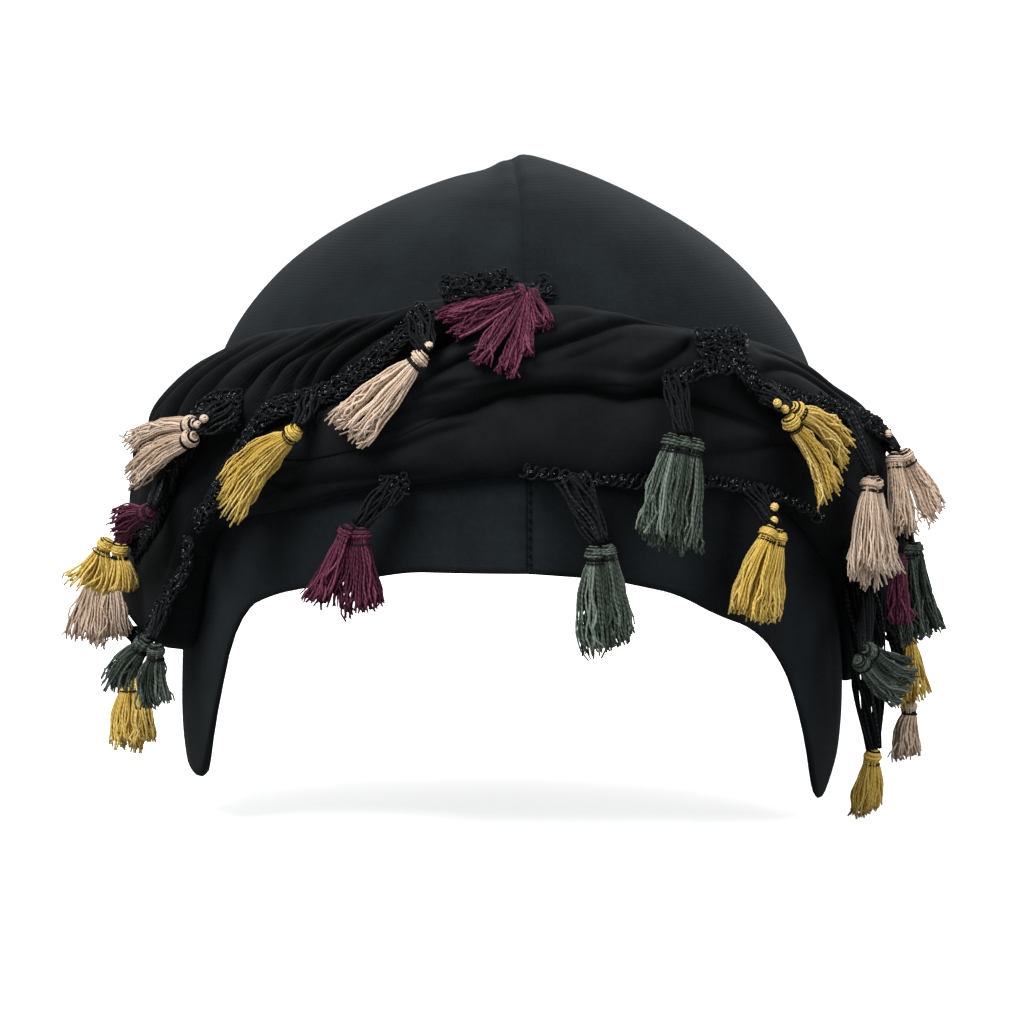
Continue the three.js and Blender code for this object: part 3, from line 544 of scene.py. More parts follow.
def make_hood(name, sign):
    """One half: the outer skin, the fold of the hem and the inner skin, as sections that run down and up again."""
    turn, fall, smooth = hood_grid(sign)
    normal = grid_normals(smooth, np.array([0, 0, -90.0]))
    relief = np.minimum(hood_relief(turn, fall, smooth), np.where(fall < 28, 1.2, 0.35))
    outer = smooth + normal * relief[..., None]
    inner = smooth - normal * CROWN_WALL
    fold = (outer[-1] + inner[-1]) / 2 + unit(smooth[-1] - smooth[-2]) * 0.5
    skins = np.concatenate([outer, fold[None], inner[::-1]])
    skins[..., 0] = sign * np.maximum(sign * skins[..., 0], HALF_GAP)
    skins[:, [0, -1], 0] = 0
    along = turn * 1.5 * np.clip(fall / 45, 0.12, 1) ** 0.5
    spot = np.stack([along, fall, np.zeros_like(fall)], -1)
    spot = np.concatenate([spot, spot[-1:], spot[::-1]])
    around, sections, _ = skins.shape
    faces = [f[:, ::sign] for f in (skin_faces(sections, around), end_faces(sections, around))]
    points, spot = (x.swapaxes(0, 1).reshape(-1, 3) for x in (skins, spot))
    tone_and_shade = second = None
    if sign < 0:
        p, q, e, s = seam_stitches()
        second = (YARN["thread"], sum(len(f) for f in faces))
        faces += [q + len(points), e + len(points)]
        tone_and_shade = np.full(len(points) + len(p), 0.25)
        points, spot = np.concatenate([points, p]), np.concatenate([spot, s])
    piece = make_piece(name, points, faces, JERSEY, spot, second, tone_and_shade)
    return piece, cloth_area(skins[: len(outer)])


# %% Both halves of the hood
for name, sign in (("hood_left", -1), ("hood_right", 1)):
    piece, area = make_hood(name, sign)
    node = name.replace("hood", "crown")
    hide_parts(node)
    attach(piece, "root")
    print(name, "faces", len(piece.data.polygons), "cloth", round(area, 4), "m2")

# %% [markdown]
# ## The wound scarf
# The scarf lies in three layers: a broad lower band, a roll that crosses the brow and runs to the right, and a
# pleated swathe that fans out to the left. Each layer is a band with a top line, a bottom line and a height over the
# hood. A cloth simulation would have to be pleated by hand first, so the cloth is shaped directly.

# %% The three layers of the scarf, in millimetres
LOWER = table("turn top bottom lift", [
    (-180, 70, 104, 8.4), (-150, 72, 109, 8.7), (-120, 78, 117, 9.8), (-98, 84, 122.5, 10.9), (-80, 86, 122.5, 11.2),
    (-72, 83, 120.5, 10.6), (-68, 79, 114, 9.8), (-65, 75, 101, 9), (-61, 70, 91.5, 8), (-54, 64, 87.2, 7.3),
    (-40, 58, 83.2, 6.6), (-29, 54, 79, 6.4), (-17, 49, 76.5, 6.4), (0, 46, 74.2, 6.4), (13, 46, 76.3, 6.4),
    (26, 48, 76.5, 6.4), (36, 53, 78.2, 6.7), (46, 59, 83, 7.3), (57, 66, 93.5, 8.4), (66, 73, 103, 9.8),
    (76, 80, 121, 10.9), (82, 82, 130, 11.1), (90, 84, 133, 11.2), (108, 81, 124, 10.6), (130, 76, 113, 9.8),
    (155, 72, 107.5, 8.8), (180, 70, 104, 8.4),
])
RIGHT = table("turn top bottom lift", [
    (-44, 67, 72, 2.8), (-36, 62, 72.5, 4.8), (-27, 56, 70, 7), (-19, 50, 66.5, 8.1), (-13, 45.5, 62, 8.7),
    (-7, 41, 58, 9), (0, 37.2, 55.2, 9.2), (8, 36.6, 55, 9.5), (14, 38.2, 55.5, 9.8), (22, 40.5, 56.7, 9.8),
    (30, 42.5, 60, 9.9), (38, 44, 64.5, 10.2), (47, 46.5, 71, 10.6), (56, 50.5, 78.5, 11.5), (65, 56, 86, 12.6),
    (76, 60.5, 94, 14.3), (90, 63.5, 100, 15.1), (110, 65, 100, 14), (135, 64, 98, 13.2), (158, 61, 95, 12.3),
    (179.87, 60, 94, 12),
])
LEFT = table("turn top bottom lift", [
    (-179.87, 60, 94, 12), (-155, 60, 95.5, 12.6), (-130, 60, 98.5, 13.3), (-108, 59, 101, 14), (-92, 57, 100.5, 14),
    (-80, 54, 96, 13.4), (-70, 50, 88, 12.3), (-62, 46.8, 79, 11.2), (-53, 44, 70, 10.4), (-44, 42.5, 63.5, 9.8),
    (-35, 41, 58, 9.8), (-26, 39.5, 52, 10.4), (-17, 37.2, 46, 11.2), (-9, 35.5, 42, 10.9), (-3, 35.5, 40, 9.8),
])
SEAT = 0.85  # where the back of each layer lies, over the hood
print("layers end at turns", [float(rows["turn"][k]) for rows in (RIGHT, LEFT) for k in (0, -1)])

# %% [markdown]
# ## Creases
# The creases of the front are what the eye knows the scarf by, so each is drawn where it lies in the picture. A
# crease is a sharp valley with a soft lip above it. It fades out at both ends, as cloth does when its tension ends.

# %% Creases: depth and width in mm, and places along each as turn and fall
CREASES = {
    "lower": [
        (2.6, 1.7, [(-24, 66), (-18, 63.5), (-10, 61), (-6.5, 58.8), (-3, 56.8), (3, 56), (9, 56.2), (14, 58), (20, 57),
                    (26, 59), (34, 63), (42, 68)]),
        (1.1, 1.2, [(-27, 70), (-20, 69), (-13, 65.5), (-7, 63)]),
        (1.0, 1.4, [(-52, 77), (-38, 78), (-26, 76), (-12, 74.2)]),
        (0.9, 1.5, [(26, 71.5), (34, 70.5), (44, 70), (52, 72)]), (0.8, 1.3, [(-50, 84), (-42, 80), (-34, 75)]),
    ],
    "right": [
        (0.9, 1.3, [(0, 44.6), (4, 43.5), (7.5, 42), (12, 41)]),
        (2.0, 1.2, [(-5, 51), (0.5, 48.5), (4, 47), (9.5, 45), (14, 43), (18, 42), (22, 42.2), (28, 44)]),
        (0.8, 1.2, [(4, 51), (10.5, 48), (15.5, 46)]), (1.5, 1.1, [(14, 54.5), (19, 52.5), (24, 49.5), (28, 46.5)]),
        (1.6, 1.1, [(-16, 54), (-13, 52.5), (-10, 50.5), (-7, 49), (-2, 47)]),
        (2.0, 1.0, [(-18, 59), (-12.5, 57), (-8, 56.2), (-3, 54.8), (2, 52)]),
        (1.0, 1.2, [(-26, 66), (-20, 62), (-14, 60), (-9, 58.5)]), (1.0, 1.2, [(-32, 65), (-26, 60.5), (-21, 56.5)]),
        (1.2, 1.4, [(34, 57), (42, 54), (50, 55), (60, 61), (70, 68)]),
        (1.4, 1.3, [(40, 50), (48, 51), (56, 55.5), (66, 62), (76, 70)]),
        (0.9, 1.4, [(44, 62), (52, 66), (62, 73), (72, 82)]),
    ],
    "left": [
        (2.0, 1.1, [(-14, 42), (-19, 43), (-23.5, 45.5), (-26.5, 48), (-30.5, 51.5), (-33, 55), (-36, 60)]),
        (2.4, 1.2, [(-19, 41), (-24, 42.8), (-28.5, 45.5), (-32, 48.5), (-34.5, 52), (-36.7, 56), (-38, 61)]),
        (2.6, 1.1, [(-24, 41.6), (-29, 44), (-33, 47), (-35.7, 49.4), (-37.6, 52.4), (-39.5, 56), (-41, 63)]),
        (2.5, 1.2, [(-27, 41.3), (-32, 44.5), (-35.5, 47.5), (-38.5, 50), (-41.5, 52.6), (-44, 56), (-46.5, 63)]),
        (2.4, 1.4, [(-31, 41.8), (-36, 45), (-39.5, 47.5), (-43.5, 50.5), (-47, 53.6), (-50, 57.5), (-53, 65)]),
        (0.9, 1.3, [(-25, 41.5), (-31, 43.6), (-35.5, 47)]),
        (1.1, 1.6, [(-36, 43.2), (-42, 46.5), (-48, 50.5), (-53, 56)]),
        (1.7, 1.5, [(-41, 44), (-48, 48), (-54, 53), (-58, 59), (-61, 68), (-62, 76)]),
        (1.9, 1.5, [(-47, 45), (-55, 50), (-61, 56), (-66, 64), (-69, 74), (-70, 84)]),
        (1.5, 1.5, [(-54, 46.5), (-62, 52), (-69, 60), (-74, 70), (-77, 82), (-78, 92)]),
        (1.6, 1.7, [(-62, 50), (-70, 56.5), (-78, 66), (-84, 78), (-87, 90)]),
    ],
}
print("creases:", {band: len(lines) for band, lines in CREASES.items()})

# %% Depth of the creases
TURN_WIDE = 1.45  # mm of cloth in a degree of turn, near the brow
CREASE_REACH = 9.0


def crease_depth(band, turn, fall):
    """How deep the creases are at each place."""
    turn, fall = np.broadcast_arrays(np.asarray(turn, float), np.asarray(fall, float))
    total = np.zeros(turn.shape)
    for deep, wide, path in CREASES[band]:
        path = np.array(path, float)
        rows = {"i": np.arange(len(path)), "turn": path[:, 0], "fall": path[:, 1]}
        fine = np.linspace(0, len(path) - 1, 4 * len(path) - 3)
        line = np.stack([read(rows, "turn", fine) * TURN_WIDE, read(rows, "fall", fine)], 1)
        x, y = turn * TURN_WIDE, fall
        low, high = line.min(0) - CREASE_REACH, line.max(0) + CREASE_REACH
        near = (x > low[0]) & (x < high[0]) & (y > low[1]) & (y < high[1])
        if not near.any():
            continue
        a, v = line[:-1], np.diff(line, axis=0)
        px, py = x[near][:, None] - a[:, 0], y[near][:, None] - a[:, 1]
        t = clamp((px * v[:, 0] + py * v[:, 1]) / (v**2).sum(1))
        ex, ey = px - t * v[:, 0], py - t * v[:, 1]
        far = np.hypot(ex, ey)
        k = far.argmin(1)
        pick = np.arange(len(k)), k
        distance, along = far[pick], (k + t[pick]) / len(a)
        signed = distance * np.where(ey[pick] < 0, 1, -1)
        fade = clamp(np.minimum(along, 1 - along) / 0.22) ** 0.7
        valley = np.exp(-((distance / (0.92 * wide)) ** 1.15))
        lip = 0.42 * bell(signed, 1.5 * wide, 2.0 * wide)
        total[near] += 1.5 * deep * fade * (valley - lip)
    return total


# %% [markdown]
# ## Pleats and bulges
# At the sides and the back the folds run on evenly. There a pleat is a rounded ridge with a sharp valley on each
# side, so its height is the root of a sine. A few bulges puff the cloth out where it is wound loosely. A layer is
# lifted wherever it crosses the one below, and never sinks into it.

# %% Height of each layer over the hood
def pleat(phase):
    return np.abs(np.sin(np.pi * phase)) ** 0.55


def soft_max(a, b, width=1.2):
    return 0.5 * (a + b + np.sqrt((a - b) ** 2 + width**2)) - 0.15 * width


# Each layer: its form, where its pleats run, how deep they are, and the layers below it
BANDS = {
    "lower": (LOWER, lambda turn, share: 1.6 * share - 0.011 * turn + 0.22 * ripple(turn / 26, share * 2, 21) + 0.2,
              lambda turn: 0.9 * np.clip((np.abs(turn) - 50) / 20, 0.15, 1), ()),
    "right": (RIGHT, lambda turn, share: 3.4 * share + 0.015 * turn + 0.5 * ripple(turn / 17, share * 3, 22) + 0.35,
              lambda turn: 2.2 * clamp((turn - 55) / 25), ("lower",)),
    "left": (LEFT, lambda turn, share: 3.6 * share - 0.02 * turn + 0.5 * ripple(turn / 15, share * 3, 23),
             lambda turn: 2.4 * clamp((-75 - turn) / 14), ("lower", "right")),
}
END_FADE = 3.0
# Where the cloth stands out further: turn, fall, width in degrees, height in mm, and how far
BULGES = {
    "lower": [(-95, 108, 17, 14, 6.5), (84, 112, 10, 9, 2.0)],
    "right": [(33, 52, 5, 6, 1.2)],
    "left": [(-84, 92, 6, 5.5, 5.0), (-66, 60, 6, 8, 0.8)],
}
CLOTH = 1.0


def fold_depth(band, turn, fall, share):
    _, phase, depth, _ = BANDS[band]
    return (1 - pleat(phase(turn, share))) * depth(turn) + crease_depth(band, turn, fall)


def band_stand(band, turn, share):
    """How far a layer stands out at a turn and at a share of its width, from its top line to its bottom line."""
    rows, _, _, below = BANDS[band]
    top, bottom, lift = (read(rows, c, turn) for c in ("top", "bottom", "lift"))
    inside = clamp(share)
    fall = top + (bottom - top) * share
    blunt = 0.45 - (0.17 * bell(turn, 20, -92) if band == "lower" else 0)
    rounded = np.sin(np.pi * inside) ** blunt
    if band != "lower":
        near_end = np.minimum(turn - rows["turn"][0], rows["turn"][-1] - turn)
        inner_end = (turn - rows["turn"][0] if band == "right" else rows["turn"][-1] - turn) / END_FADE
        rounded = rounded * np.sqrt(clamp(inner_end)) * clamp(near_end + 1.2)
    folds = fold_depth(band, turn, fall, inside)
    for at_turn, at_fall, wide, tall, high in BULGES[band]:
        folds = folds - high * bell(turn, wide, at_turn) * bell(fall, tall, at_fall)
    crumple = 0.4 * ripple(turn / 5, share * 7, 41) + 0.2 * ripple(turn / 2.2, share * 13, 43)
    stand = SEAT + CLOTH + (lift - CLOTH - folds + crumple - 0.3) * rounded
    for under in below:
        cloth = band_cover(under, turn, fall)
        stand = np.where(cloth > 0, soft_max(stand, cloth + CLOTH * (0.4 + 0.6 * rounded)), stand)
    return stand


def band_cover(band, turn, fall):
    """How far a layer stands out at a place, or 0 beside it."""
    rows = BANDS[band][0]
    turn = np.where(turn > 180, turn - 360, turn)
    top, bottom = read(rows, "top", turn), read(rows, "bottom", turn)
    share = (fall - top) / (bottom - top)
    there = (share >= 0) & (share <= 1) & (turn >= rows["turn"][0] - 0.2) & (turn <= rows["turn"][-1] + 0.2)
    return np.where(there, band_stand(band, turn, clamp(share)), 0)


print("crest over the brow stands out", float(band_stand("right", np.array([8.0]), np.array([0.5]))[0].round(1)), "mm")

# %% [markdown]
# Each layer is then a closed skin: the pleated face that shows, and a plain face that lies on the hood.

# %% Make the scarf
CLOTH_WIDE = 1.55  # mm of cloth in a degree of turn, on the average


def band_grid(rows, turns, shares):
    turn, share = np.meshgrid(turns, shares, indexing="ij")
    return turn, share, read(rows, "top", turn) * (1 - share) + read(rows, "bottom", turn) * share


def make_band(name, band, step, rows_across):
    rows = BANDS[band][0]
    first, last = np.round(rows["turn"][0]), np.round(rows["turn"][-1])
    ring = band == "lower"
    turns = np.linspace(first, last, int((last - first) * 1.5 / step) + 1)
    turns = turns[:-1] if ring else turns
    even = np.linspace(0, 1, rows_across)
    shares = 0.7 * even + 0.3 * (0.5 - 0.5 * np.cos(np.pi * even))
    turn, share, fall = band_grid(rows, turns, shares)
    rear_turn, rear_share, rear_fall = band_grid(rows, turns, np.linspace(1, 0, 6))
    face = place(turn, fall, band_stand(band, turn, share))
    section = np.concatenate([face, place(rear_turn, rear_fall, np.full(rear_fall.shape, SEAT))], 1)
    sections, around, _ = section.shape
    faces = [skin_faces(sections, around, closed=ring)] + ([] if ring else [end_faces(sections, around)])
    spot = np.concatenate([np.stack([turn * CLOTH_WIDE, fall, share], -1),
                           np.stack([rear_turn * CLOTH_WIDE, rear_fall, rear_share], -1)], 1)
    # painted shade: how deep each point lies in its folds, for the material to darken the colour there
    deep = np.clip(fold_depth(band, turn, fall, share) / 2.6, 0, 0.9)
    tone_and_shade = np.concatenate([deep, np.zeros(rear_fall.shape)], 1)
    piece = make_piece(name, section, faces, VOILE, spot, tone_and_shade=tone_and_shade)
    across = np.linalg.norm(np.diff(face, axis=1), axis=-1).sum(1).mean() * MM
    return piece, cloth_area(face), across


SCARF = {}
for band, step, rows_across in (("lower", 1.25, 64), ("right", 0.85, 76), ("left", 0.68, 86)):
    piece, area, across = make_band("scarf_" + band, band, step, rows_across)
    name = "wrap_" + band
    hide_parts(name)
    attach(piece, "root")
    SCARF[band] = (piece, area, across)
    print(piece.name, "faces", len(piece.data.polygons), "width unfolded", round(across / MM), "mm")

# %% [markdown]
# ## The crocheted edge
# The scarf is edged with black crochet: one yarn that loops back on itself every 2 mm, row beside row, with small
# knots along the rim. A chain of separate rings would look like mail, so each row is one long yarn that runs forward
# and curls back, as the hook leaves it. Rows next to each other are half a loop apart, and no two loops are the same.
# A few strips lie side by side where the edge is gathered.

# %% Where the edging runs: strips of width, rows of loops, knot size and places along them as turn and fall
EDGING = {
    "top": [(4.8, 3, 1.5, [(-13.5, 38), (-7, 36), (-1, 34.5), (4.5, 31)])],
    "left": [(4.6, 4, 0.9, [(-59, 89), (-54, 83), (-50, 75.5), (-47, 68.5), (-44, 63.5), (-38, 60), (-32, 57.5),
                            (-26.5, 53.5), (-21.5, 49), (-18, 44.5), (-15.5, 41)])],
    "side_left": [(9, 7, 0.7, [(-79, 97), (-71, 86.5), (-65, 77.5), (-60, 70), (-55.5, 64.5), (-49, 63)])],
    "knot": [(4, 3, 0.9, [(-22, 77.5), (-17.5, 76.5)])],
    "front": [(1.9, 1, 0.55, [(-1, 73.6), (6, 75.2), (19, 76.6), (26, 76.6), (33, 78), (42, 81), (53, 88)])],
    "right": [(4.6, 4, 0.9, [(31, 50), (36, 57), (43, 61), (52, 63.5), (61, 66.5), (70, 70), (78, 74.5), (84, 82),
                             (88, 90)]),
              (10.5, 7, 0.6, [(26.8, 50.5), (30, 50.2), (35.5, 50.5)]),
              (3, 2, 0.7, [(20.5, 55.2), (24, 54.6), (28, 53)])],
    "low_left": [(5, 3, 0.9, [(-88, 121.5), (-80, 121.5), (-73, 118), (-67, 110), (-63.5, 101), (-61, 93)])],
    "low_right": [(5, 3, 0.9, [(60, 96), (66, 103.5), (72, 111), (79, 117.5), (90, 121)])],
    "back": [(4.6, 3, 0.9, [(102, 77), (118, 75), (126, 74), (142, 72.3), (150, 71.5), (166, 70.6), (174, 70.2),
                            (190, 70.2), (198, 70.5), (214, 71.5), (222, 72.2), (238, 74), (248, 75.5)])],
}
YARN_WIDE = 0.72
STEPS_PER_LOOP = 12
FRONT_PITCH, BACK_PITCH = 2.0, 2.6
LINE_STEP = 0.5
KNOT_EVERY, KNOT_STEPS = 3.0, 18
LINT_TINT, LINT_RADIUS = 0.62, 0.05


def cover(turn, fall):
    """The highest cloth close to a place, so that yarn passes over the edges of the scarf."""
    turn, fall = np.broadcast_arrays(np.asarray(turn, float), np.asarray(fall, float))
    dt, df = (x.reshape((-1,) + (1,) * turn.ndim) for x in np.meshgrid([-1.5, 0, 1.5], [-2, 0, 2]))
    return np.maximum.reduce([band_cover(band, turn + dt, fall + df).max(0) for band in BANDS])


@functools.cache
def edging_line(name, strip):
    """Centre, side, up and turn at even steps along a strip, as it lies on the cloth."""
    path = np.array(EDGING[name][strip][3], float)
    length = np.concatenate([[0], np.hypot(np.diff(path[:, 0]) * 1.5, np.diff(path[:, 1])).cumsum()])
    rows = {"length": length, "turn": path[:, 0], "fall": path[:, 1]}
    at = np.linspace(0, length[-1], int(length[-1] / LINE_STEP) + 2)
    turn, fall = read(rows, "turn", at), read(rows, "fall", at)
    stand = cover(turn, fall)
    stand = np.convolve(np.pad(stand, 4, mode="edge"), np.ones(9) / 9, "valid")
    stand = np.maximum(stand, cover(turn, fall) - 0.3) + 0.5
    centre = place(turn, fall, stand)
    ahead = unit(np.gradient(centre, axis=0))
    side = unit(np.cross(ahead, outward(turn, fall)))
    return centre, side, np.cross(side, ahead), turn


def along_line(line, at):
    """What a line has at shares of its length."""
    return [np.stack([np.interp(at, np.linspace(0, 1, len(a)), a[:, k]) for k in range(3)], -1) for a in line]


print("strips of edging:", sum(len(strips) for strips in EDGING.values()))

# %% [markdown]
# Each row runs along the strip as a wave that also runs back and forth, which makes loops. The knots are short
# spirals that rise off the rim. Short pale hairs of lint stand off them, as on any black yarn that has been handled.

# %% Crochet, knots and lint
def crochet(name, strip, seed, pitch):
    wide, rows, knot_size, _ = EDGING[name][strip]
    centre, side, up, _ = edging_line(name, strip)
    length = np.linalg.norm(np.diff(centre, axis=0), axis=-1).sum()
    loops = max(3, round(length / pitch))
    theta = np.linspace(0, 2 * np.pi * loops, loops * STEPS_PER_LOOP)
    lane = wide / rows
    bundles = []
    for row in range(rows):
        chance = np.random.RandomState(seed * 37 + row)
        each = np.arange(loops + 1)
        uneven = [np.interp(theta / (2 * np.pi), each, chance.uniform(-1, 1, loops + 1)) for _ in range(4)]
        phase = theta + (np.pi if row % 2 else 0) + 1.1 * uneven[0]
        s = (theta / theta[-1] * length + (0.62 + 0.2 * uneven[3]) * pitch * np.sin(phase)) / length
        c, d, u = along_line([centre, side, up], clamp(s))
        across = (row - (rows - 1) / 2) * lane + 0.3 * uneven[2]
        across = across + (lane * 0.5 + 0.4) * (1 + 0.4 * uneven[1]) * np.cos(phase)
        height = 0.45 + 0.5 * np.sin(2 * phase + row) + 0.45 * uneven[3]
        line = c + d * across[:, None] + u * height[:, None]
        thick = YARN_WIDE / 2 * (1 + 0.12 * uneven[2])
        bundles.append(yarn(line[None], thick[None], 4, 0.16 + 0.06 * chance.uniform(-1, 1)))
    knots = max(2, round(length * rows**0.5 / KNOT_EVERY))
    chance = np.random.RandomState(seed * 91)
    at = (np.arange(knots) + 0.5 + chance.uniform(-0.3, 0.3, knots)) / knots
    c, d, u = along_line([centre, side, up], at)
    rim = chance.uniform(-0.5, 0.5, knots) * wide
    curl = np.linspace(0, 1, KNOT_STEPS)[None] * 2 * np.pi * 2.6 + chance.uniform(0, 6.28, knots)[:, None]
    reach = knot_size * (0.8 + 0.35 * chance.uniform(-1, 1, knots)[:, None]) * (0.75 + 0.35 * np.sin(curl * 0.37))
    rise = knot_size * np.linspace(-0.1, 1.7, KNOT_STEPS)[None] + 0.25 * np.sin(curl * 1.7)
    f = np.cross(u, d)
    knot = (c + d * rim[:, None])[:, None] + d[:, None] * (reach * np.cos(curl))[..., None]
    knot = knot + f[:, None] * (reach * np.sin(curl))[..., None] + u[:, None] * rise[..., None]
    bundles.append(yarn(knot, YARN_WIDE / 2 * 0.9, 4, 0.2))
    bundles.append(lint(c + u * 0.9, d * wide * 0.5, u, f, chance, 3))
    return bundles


def lint(places, across, up, along, chance, each):
    """Loose pale fibres: short hairs that stand off the yarn."""
    count = len(places) * each
    pick = np.repeat(np.arange(len(places)), each)
    start = places[pick] + across[pick] * chance.uniform(-1, 1, (count, 1))
    start = start + along[pick] * chance.uniform(-1.5, 1.5, (count, 1))
    start = start + up[pick] * chance.uniform(0, 0.6, (count, 1))
    heading = unit(chance.normal(0, 1, (count, 3)) + up[pick] * 0.8) * chance.uniform(0.3, 0.8, (count, 1))
    bow = unit(chance.normal(0, 1, (count, 3))) * 0.25
    t = np.linspace(0, 1, 4)[None, :, None]
    paths = start[:, None] + heading[:, None] * t + bow[:, None] * (4 * t * (1 - t))
    return yarn(paths, LINT_RADIUS, 3, LINT_TINT)


# %% [markdown]
# ## The tassels
# A tassel is a hank of cut yarn folded over the end of its hanger and bound with black thread just below the fold,
# so that it has a small round head, a tight neck and a skirt that opens to uneven ends. Most are two skirts side by
# side on one hanger. Each tassel is one row of a table, with the place of its head and of its tip. Those of the front
# and the sides are read off the picture, and the six of the hidden back are guessed.

# %% Each tassel: colour, edging, turn it hangs at, head, tip, width, skirts, splay and the turn it faces
TASSELS = [
    ("tan", "side_left", -50, (-53.8, 68.3, 16), (-71, 77.5, 18.5), 9, 2, 9, None),
    ("mustard", "left", -35, (-33.6, 66.3, 14), (-45.6, 82.8, 14), 13, 1, 0, None),
    ("burgundy", "side_left", -67, (-62, 86.8, 18), (-71, 91.5, 21), 8, 1, 0, -20),
    ("mustard", "side_left", -77, (-76, 95.5, 19), (-77, 107, 22), 12, 2, 8.5, -15),
    ("tan", "low_left", -86, (-86, 104, 19), (-86, 121.5, 21), 10, 2, 8, -20),
    ("green", "low_left", -67, (-66, 117.5, 14), (-69.5, 131.5, 16), 9.5, 2, 12, -30),
    ("mustard", "low_left", -80, (-80, 129, 13), (-79, 145, 13), 9, 2, 5, -25),
    ("tan", "left", -16.5, (-14.8, 50.3, 14), (-26, 66.6, 13), 12.5, 1, 0, None),
    ("burgundy", "top", 2.5, (0.2, 36.5, 10), (-5.5, 49, 12.5), 8.5, 3, 21, None),
    ("burgundy", "knot", -19.5, (-24.5, 86.5, 9), (-26.3, 104, 9), 11, 2, 11.5, None),
    ("green", "front", 5.5, (9, 90, 9), (10.5, 112.5, 9), 9, 2, 6, None),
    ("green", "right", 22, (21.3, 67.5, 13.5), (18.2, 90, 13), 9.5, 3, 7, None),
    ("mustard", "front", 37, (37, 88, 11), (33, 108, 11), 9.5, 2, 8, None),
    ("mustard", "right", 38, (39.5, 64, 16), (49.2, 77, 15.5), 9.5, 2, 13, None),
    ("tan", "right", 58, (57, 79, 17.5), (56.6, 100.5, 17.5), 15, 2, 12, None),
    ("tan", "right", 71, (70.5, 75, 18), (71, 91.5, 21.5), 10, 2, 13, 35),
    ("green", "right", 87, (81, 97, 17.5), (80, 120, 20), 10, 2, 4, 25),
    ("burgundy", "right", 82, (73.5, 98.5, 15.5), (73, 115.5, 15.5), 6, 1, 0, 30),
    ("green", "low_right", 69, (55.5, 119.5, 14.5), (66, 128.5, 19), 8.5, 2, 4, 15),
    ("mustard", "low_right", 89, (90, 121, 17.5), (88, 138, 19), 10, 1, 0, 20),
    ("tan", "low_right", 86, (91, 138, 18.5), (91, 151, 20), 9, 1, 0, 20),
    ("mustard", "low_right", 67, (71.5, 145.5, 10), (73.5, 161.5, 10.3), 8.5, 1, 0, 10),
]
# The tassels of the back: colour, turn and fall of the head, turn and fall of the tip
AT_BACK = [("tan", 110, 81, 112, 100), ("burgundy", 134, 79, 135, 99), ("green", 158, 77, 158, 98),
           ("mustard", 182, 77, 181, 98), ("tan", 206, 78, 206, 99), ("burgundy", 230, 79, 230, 100)]
for colour, turn, fall, tip_turn, tip_fall in AT_BACK:
    TASSELS.append((colour, "back", turn, (turn, fall, 17), (tip_turn, tip_fall, 17), 9, 2, 8, None))
# How a tassel differs: sideways bow in mm, slope of its cut end, beads of yarn on its hanger, and hanger width
TRIM = {
    "tan_1": (1.5, 0.1, 2, 1.5), "tan_3": (0.3, 0.04, 1, 1.2), "tan_4": (0.6, -0.1, 0, 1.2),
    "tan_5": (-0.8, 0, 2, 1.2), "tan_6": (1, 0.1, 1, 1), "mustard_1": (1.6, -0.05, 0, 1),
    "mustard_2": (-1, 0.1, 0, 1.3), "mustard_4": (0.6, 0.05, 2, 1.2), "mustard_5": (-2.2, 0.05, 2, 1.3),
    "mustard_6": (0, 0.1, 1, 1), "mustard_7": (0, 0.1, 0, 1.7), "burgundy_1": (0.5, 0, 0, 1.4),
    "burgundy_2": (0, 0, 0, 1), "burgundy_3": (0, 0.1, 0, 1), "green_1": (1, 0.1, 0, 1.2),
    "green_2": (0.6, 0.08, 0, 1.3), "green_3": (0.3, -0.03, 0, 1.05), "green_5": (1, 0.05, 0, 1.2),
}
PLAIN_TRIM = (0.5, 0, 0, 1)
# A tassel whose locks spread in a fan: turn and fall of each tip, and width of the lock
FAN = {
    "burgundy_2": [(-13.5, 43.3, 3.6), (-11, 46, 3.8), (-7, 51.5, 4.6), (-3, 54, 5), (-0.3, 50, 3.6), (2.4, 44.6, 4.4)],
}
print("tassels:", len(TASSELS))

# %% [markdown]
# Each yarn is modelled, because the light breaks on single threads. They are laid out like the seeds of a sunflower,
# which fills an oval evenly, and grouped in a few locks that part from each other. The head is yarn wound round the
# fold, the binding is black thread, and a bead is a few turns of the same yarn wound into a ball.

# %% Skirts, bindings and beads
HEAD_HALF = 2.1
FLAT = 0.55
NECK_AT = 3.4
SUNFLOWER = 2.399963  # radians from one seed to the next
LOCKS = 7
SKIRT_YARNS, FAN_YARNS = 77, 44
YARN_RADIUS, HANGER_RADIUS = 0.29, 0.37


def yarn_spot(place_at, half):
    """A place for yarn of a half thickness, raised if the cloth there needs it."""
    turn, fall, stand = place_at
    least = float(cover(np.array([float(turn)]), np.array([float(fall)]))[0]) + 0.45 + half
    return place(turn, fall, np.array(max(stand, least)))


def edging_spot(name, turn):
    """The place on an edging, in any of its strips, that is nearest to a turn."""
    lines = [edging_line(name, k) for k in range(len(EDGING[name]))]
    line = min(lines, key=lambda each: np.abs(each[3] - turn).min())
    return line[0][int(np.argmin(np.abs(line[3] - turn)))]


def skirt_section(down, length, wide):
    """Half width and half thickness of a skirt at a distance below its head."""
    opening = clamp((down - NECK_AT) / max(length - NECK_AT, 1)) ** 0.7
    knob = np.interp(down, [0, 0.7, 1.9, NECK_AT - 0.3, NECK_AT + 0.6], [0.45, 0.85, 1.05, 0.68, 0.8])
    half = HEAD_HALF * knob + (wide / 2 - HEAD_HALF * 0.8) * opening
    thick = HEAD_HALF * knob * (1 - opening) + wide / 2 * FLAT * opening
    return half, thick


